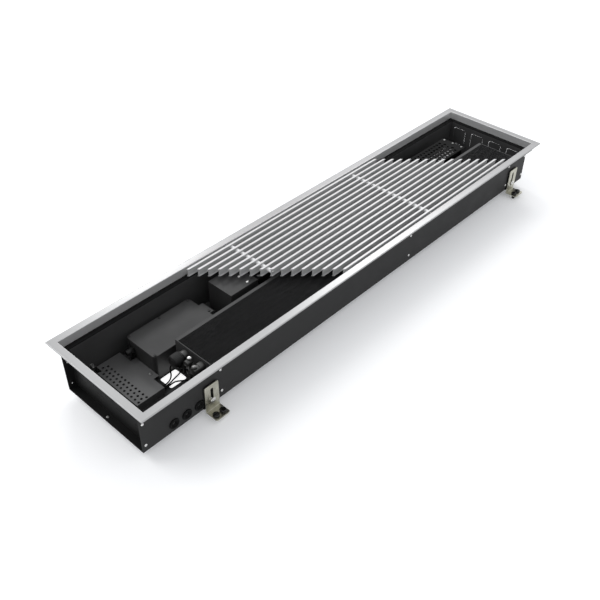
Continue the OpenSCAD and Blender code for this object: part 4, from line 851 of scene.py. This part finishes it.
level_dome = [(0.0, 6.3), (1.9, 7.0), (2.6, 7.0), (3.4, 6.7), (3.85, 6.1), (4.0, 5.3)]
for wall, side in (("front", -1), ("rear", 1)):
    for end, x in BRACKETS.items():
        for mark, shift in (("a", -LEVEL_APART), ("b", LEVEL_APART)):
            spot = (x + shift, side * LEVEL_Y, LEVEL_HEAD_Z)
            turn = chance.uniform(0.0, math.pi)
            across = (math.cos(turn), math.sin(turn), 0.0)
            parts = slotted_head(spot, (0, 0, 1), across, level_dome, LEVEL_SLOT)
            parts.append(threaded((*spot[:2], 0.0), (0, 0, 1), LEVEL_HEAD_Z, LEVEL_RADIUS, LEVEL_PITCH,
                                  LEVEL_DEPTH))
            body = f"level_{wall}_{end}_{mark}"
            new_piece(f"{wall}_{end}_level_screw_{mark}", together(parts), body, finishes["screw_black"],
                      [body], sharp=50.0)

# %% [markdown]
# ## Clamp bolts and earth stud
# A bolt with a hexagon socket clamps each bracket to the wall, through the bracket's long hole. The earth
# stud is a like bolt through the rear wall, with a washer and a nut on each side of the sheet. BOLT holds
# a bolt's length, radius, pitch and depth of thread.

# %% Clamp bolts and earth stud
CAP_SIDES, SOCKET_RADIUS = 60, 2.4
CAP_Y, BOLT_Y, CLAMP_Z = 120.1, 109.8, 17.0 + STAND
BOLT = (10.4, 3.0, 1.0, 0.35)
socket = hexagon(CAP_SIDES) * SOCKET_RADIUS
cap_head = [(0.0, 0.0), (0.0, 5.2), (0.3, 5.5), (2.7, 5.5), (3.4, 4.8), (3.4, socket), (1.6, socket),
            (1.6, 0.0)]
clamps = []
for x in BRACKETS.values():
    for side in (-1, 1):
        axis, inner_end = (0, side, 0), (x, side * BOLT_Y, CLAMP_Z)
        clamps.append(turned(cap_head, (x, side * CAP_Y, CLAMP_Z), axis, CAP_SIDES))
        clamps.append(threaded(inner_end, axis, *BOLT))
        clamps.append(hex_nut(inner_end, axis, 5.5, 4.0))
new_piece("bracket_bolts", together(clamps), "casing", finishes["bright_steel"],
          ["clamp_bolts"], sharp=40.0)

EARTH = np.array((-594.0, 0.0, 24.0 + STAND))
washer = [(0.0, 3.1), (0.0, 6.3), (0.2, 6.5), (1.0, 6.5), (1.2, 6.3), (1.2, 3.1)]
earth = [threaded(EARTH + (0, 104.8, 0), (0, 1, 0), *BOLT),
         turned(washer, EARTH + (0, 112.6, 0), (0, 1, 0), 40, hollow=True),
         hex_nut(EARTH + (0, 107.6, 0), (0, 1, 0), 5.75, 5.0),
         hex_nut(EARTH + (0, 115.0, 0), (0, 1, 0), 5.75, 5.0)]
new_piece("earth_stud", together(earth), "casing", finishes["dull_steel"],
          ["earth_bolt"], sharp=40.0)

# %% [markdown]
# ## Folded sheets, mouldings and cast bodies
# The rest of the heater has its true form in the solids, except for the edges: punched sheet, moulded lids
# and cast valves have small roundings. So a solid's triangles are copied, their doubles merged and their
# flat faces joined, and a bevel rounds the sharp edges. It is a modifier, so that the width stays a number
# that can be changed.

# %% Softening helper
POINTS_APART, FLAT_ANGLE, SHARP_ANGLE = 1e-6, 0.5, 38.0


def softened(name, node, width, body="casing", sharp=SHARP_ANGLE, share=None, cut=False):
    """A merged copy of a solid with rounded edges. width is in millimetres. Every sharp edge has the full
    width, unless share gives each edge its own part of it. With cut, the joined faces are cut into even
    triangles again, which the rounding of a cast body with many curves needs."""
    solid = frame["nodes"][node]
    work = bmesh.new()
    work.from_mesh(solid.data)
    bmesh.ops.transform(work, matrix=solid.matrix_world, verts=work.verts)
    bmesh.ops.remove_doubles(work, verts=work.verts, dist=POINTS_APART)
    bmesh.ops.dissolve_limit(work, angle_limit=math.radians(FLAT_ANGLE), verts=work.verts,
                             edges=work.edges)
    if cut:
        bmesh.ops.triangulate(work, faces=work.faces, quad_method="BEAUTY", ngon_method="BEAUTY")
    if share:
        weight = work.edges.layers.float.new("bevel_weight_edge")
        for edge in work.edges:
            edge[weight] = share(edge)
    mesh = bpy.data.meshes.new(name)
    work.to_mesh(mesh)
    work.free()
    mesh.shade_smooth()
    mesh.set_sharp_from_angle(angle=math.radians(sharp))
    mesh.materials.clear()
    mesh.materials.append(solid.data.materials[0])
    piece = bpy.data.objects.new(name, mesh)
    scene.collection.objects.link(piece)
    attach(piece, body)
    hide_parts(node)
    if width:
        bevel = piece.modifiers.new("rounding", "BEVEL")
        bevel.width, bevel.segments = width * MM, 2
        bevel.limit_method, bevel.angle_limit = "WEIGHT" if share else "ANGLE", math.radians(sharp)
        bevel.use_clamp_overlap = False
        bevel.loop_slide = False
        bevel.harden_normals = True
    print(f"{name}: {len(mesh.polygons)} faces before rounding")


print("faces that meet at less than", FLAT_ANGLE, "degrees are joined")

# %% [markdown]
# ## Each piece's rounding
# A thin punched sheet has hardly any rounding, a moulded lid more. A width of 0 leaves the edges as they
# are, on tubes and on the sheet with the most holes.

# %% Softened copies
ROUNDINGS = {
    "trough_sheet": ("casing_trough", 0.5), "near_end_sheet": ("end_plate_near", 0.3),
    "far_end_sheet": ("end_plate_far", 0.3), "ledge_rubbers": ("ledge_strips", 0.4),
    "exchanger_end_sheets": ("coil_cheeks", 0.3), "exchanger_holders": ("coil_holders", 0.3),
    "exchanger_rim_strip": ("rim_plate", 0.4), "supply_valve_body": ("supply_valve", 0.4),
    "return_valve_body": ("return_valve", 0.4), "air_vent_body": ("air_vent", 0.25),
    "control_box_shell": ("control_box", 0.5), "control_box_lid": ("control_lid", 0.6),
    "perforated_cover": ("cover_plate", 0.3), "motor_hood": ("motor_cover", 0.4),
    "fan_guard_sheet": ("fan_guard", 0.0), "fan_end_sheets": ("fan_end_plates", 0.3),
    "fan_scroll_sheet": ("fan_scroll", 0.3), "floor_label": ("label_plate", 0.1),
    "bracket_rubbers": ("bracket_pads", 0.4), "terminal_block": ("terminal_strip", 0.4),
    "board_blocks": ("board_parts", 0.5), "board_plate": ("circuit_board", 0.2),
    "motor_body": ("fan_motor", 0.5), "exchanger_tubes": ("hairpin_tubes", 0.0),
    "exchanger_bend": ("return_bend", 0.0),
}
CAST = ("supply_valve", "return_valve", "air_vent", "control_box")
for name, (node, width) in ROUNDINGS.items():
    softened(name, node, width, cut=node in CAST)
softened("inner_cable_set", "inner_cables", 0.0, sharp=60.0)

# %% [markdown]
# ## Brackets
# A bracket is folded from thicker sheet. Its fold is far rounder than its punched rims, so each edge gets
# its own share of the bevel, and which edge is which follows from where it lies.

# %% Brackets
FOLD_WIDTH, RIM_SHARE, FOLD_LENGTH, FOLD_TOP = 2.4, 0.2, 20.0, 13.0
FOLDS = ((117.3, 1.0), (119.8, 0.5))


def bracket_share(edge):
    """A bracket's fold has two long edges, a wide one under the foot and one half as wide above it. Other
    sharp edges have a fifth of the width, and the steps of the round holes none."""
    (x0, y0, z0), (x1, y1, z1) = (corner.co / MM for corner in edge.verts)
    if abs(x0 - x1) > FOLD_LENGTH and max(z0, z1) < FOLD_TOP:
        for distance, part in FOLDS:
            if abs(abs(y0) - distance) < 0.1 and abs(y0 - y1) < 0.01:
                return part
    return RIM_SHARE if edge.calc_face_angle(0.0) > math.radians(SHARP_ANGLE) else 0.0


for wall in ("front", "rear"):
    for end in BRACKETS:
        body = f"bracket_{wall}_{end}"
        softened(f"{wall}_{end}_angle_bracket", body, FOLD_WIDTH, body, share=bracket_share)

# %% [markdown]
# ## Ground
# The heater stands on a plain white ground that has no horizon, so one square far wider than the picture
# does it. The ground is matt, which lets the soft shadow show, and it glows a little, which lifts the lit
# part to white and leaves the shadow pale.

# %% Ground
GROUND_HALF, GROUND_WHITE, GROUND_ROUGH = 9.0, 0.86, 0.9
GLOW, GLOW_STRENGTH = (0.95, 0.97, 1.0), 0.2


def floor_finish():
    """A matt white that also glows faintly bluish."""
    material = bpy.data.materials.new("floor")
    material.use_nodes = True
    shader = material.node_tree.nodes["Principled BSDF"]
    shader.inputs["Base Color"].default_value = (GROUND_WHITE, GROUND_WHITE, GROUND_WHITE, 1.0)
    shader.inputs["Roughness"].default_value = GROUND_ROUGH
    shader.inputs["Emission Color"].default_value = (*GLOW, 1.0)
    shader.inputs["Emission Strength"].default_value = GLOW_STRENGTH
    return material


corners = np.array([[[-1.0, -1.0, 0.0], [-1.0, 1.0, 0.0]], [[1.0, -1.0, 0.0], [1.0, 1.0, 0.0]]])
floor_mesh = bpy.data.meshes.new("floor")
floor_points, floor_faces, _ = skin(corners * GROUND_HALF)
floor_mesh.from_pydata(floor_points.tolist(), [], floor_faces[:, ::-1].tolist())
floor_mesh.materials.append(floor_finish())
floor = bpy.data.objects.new("floor", floor_mesh)
scene.collection.objects.link(floor)
print("ground:", 2 * GROUND_HALF, "m wide")
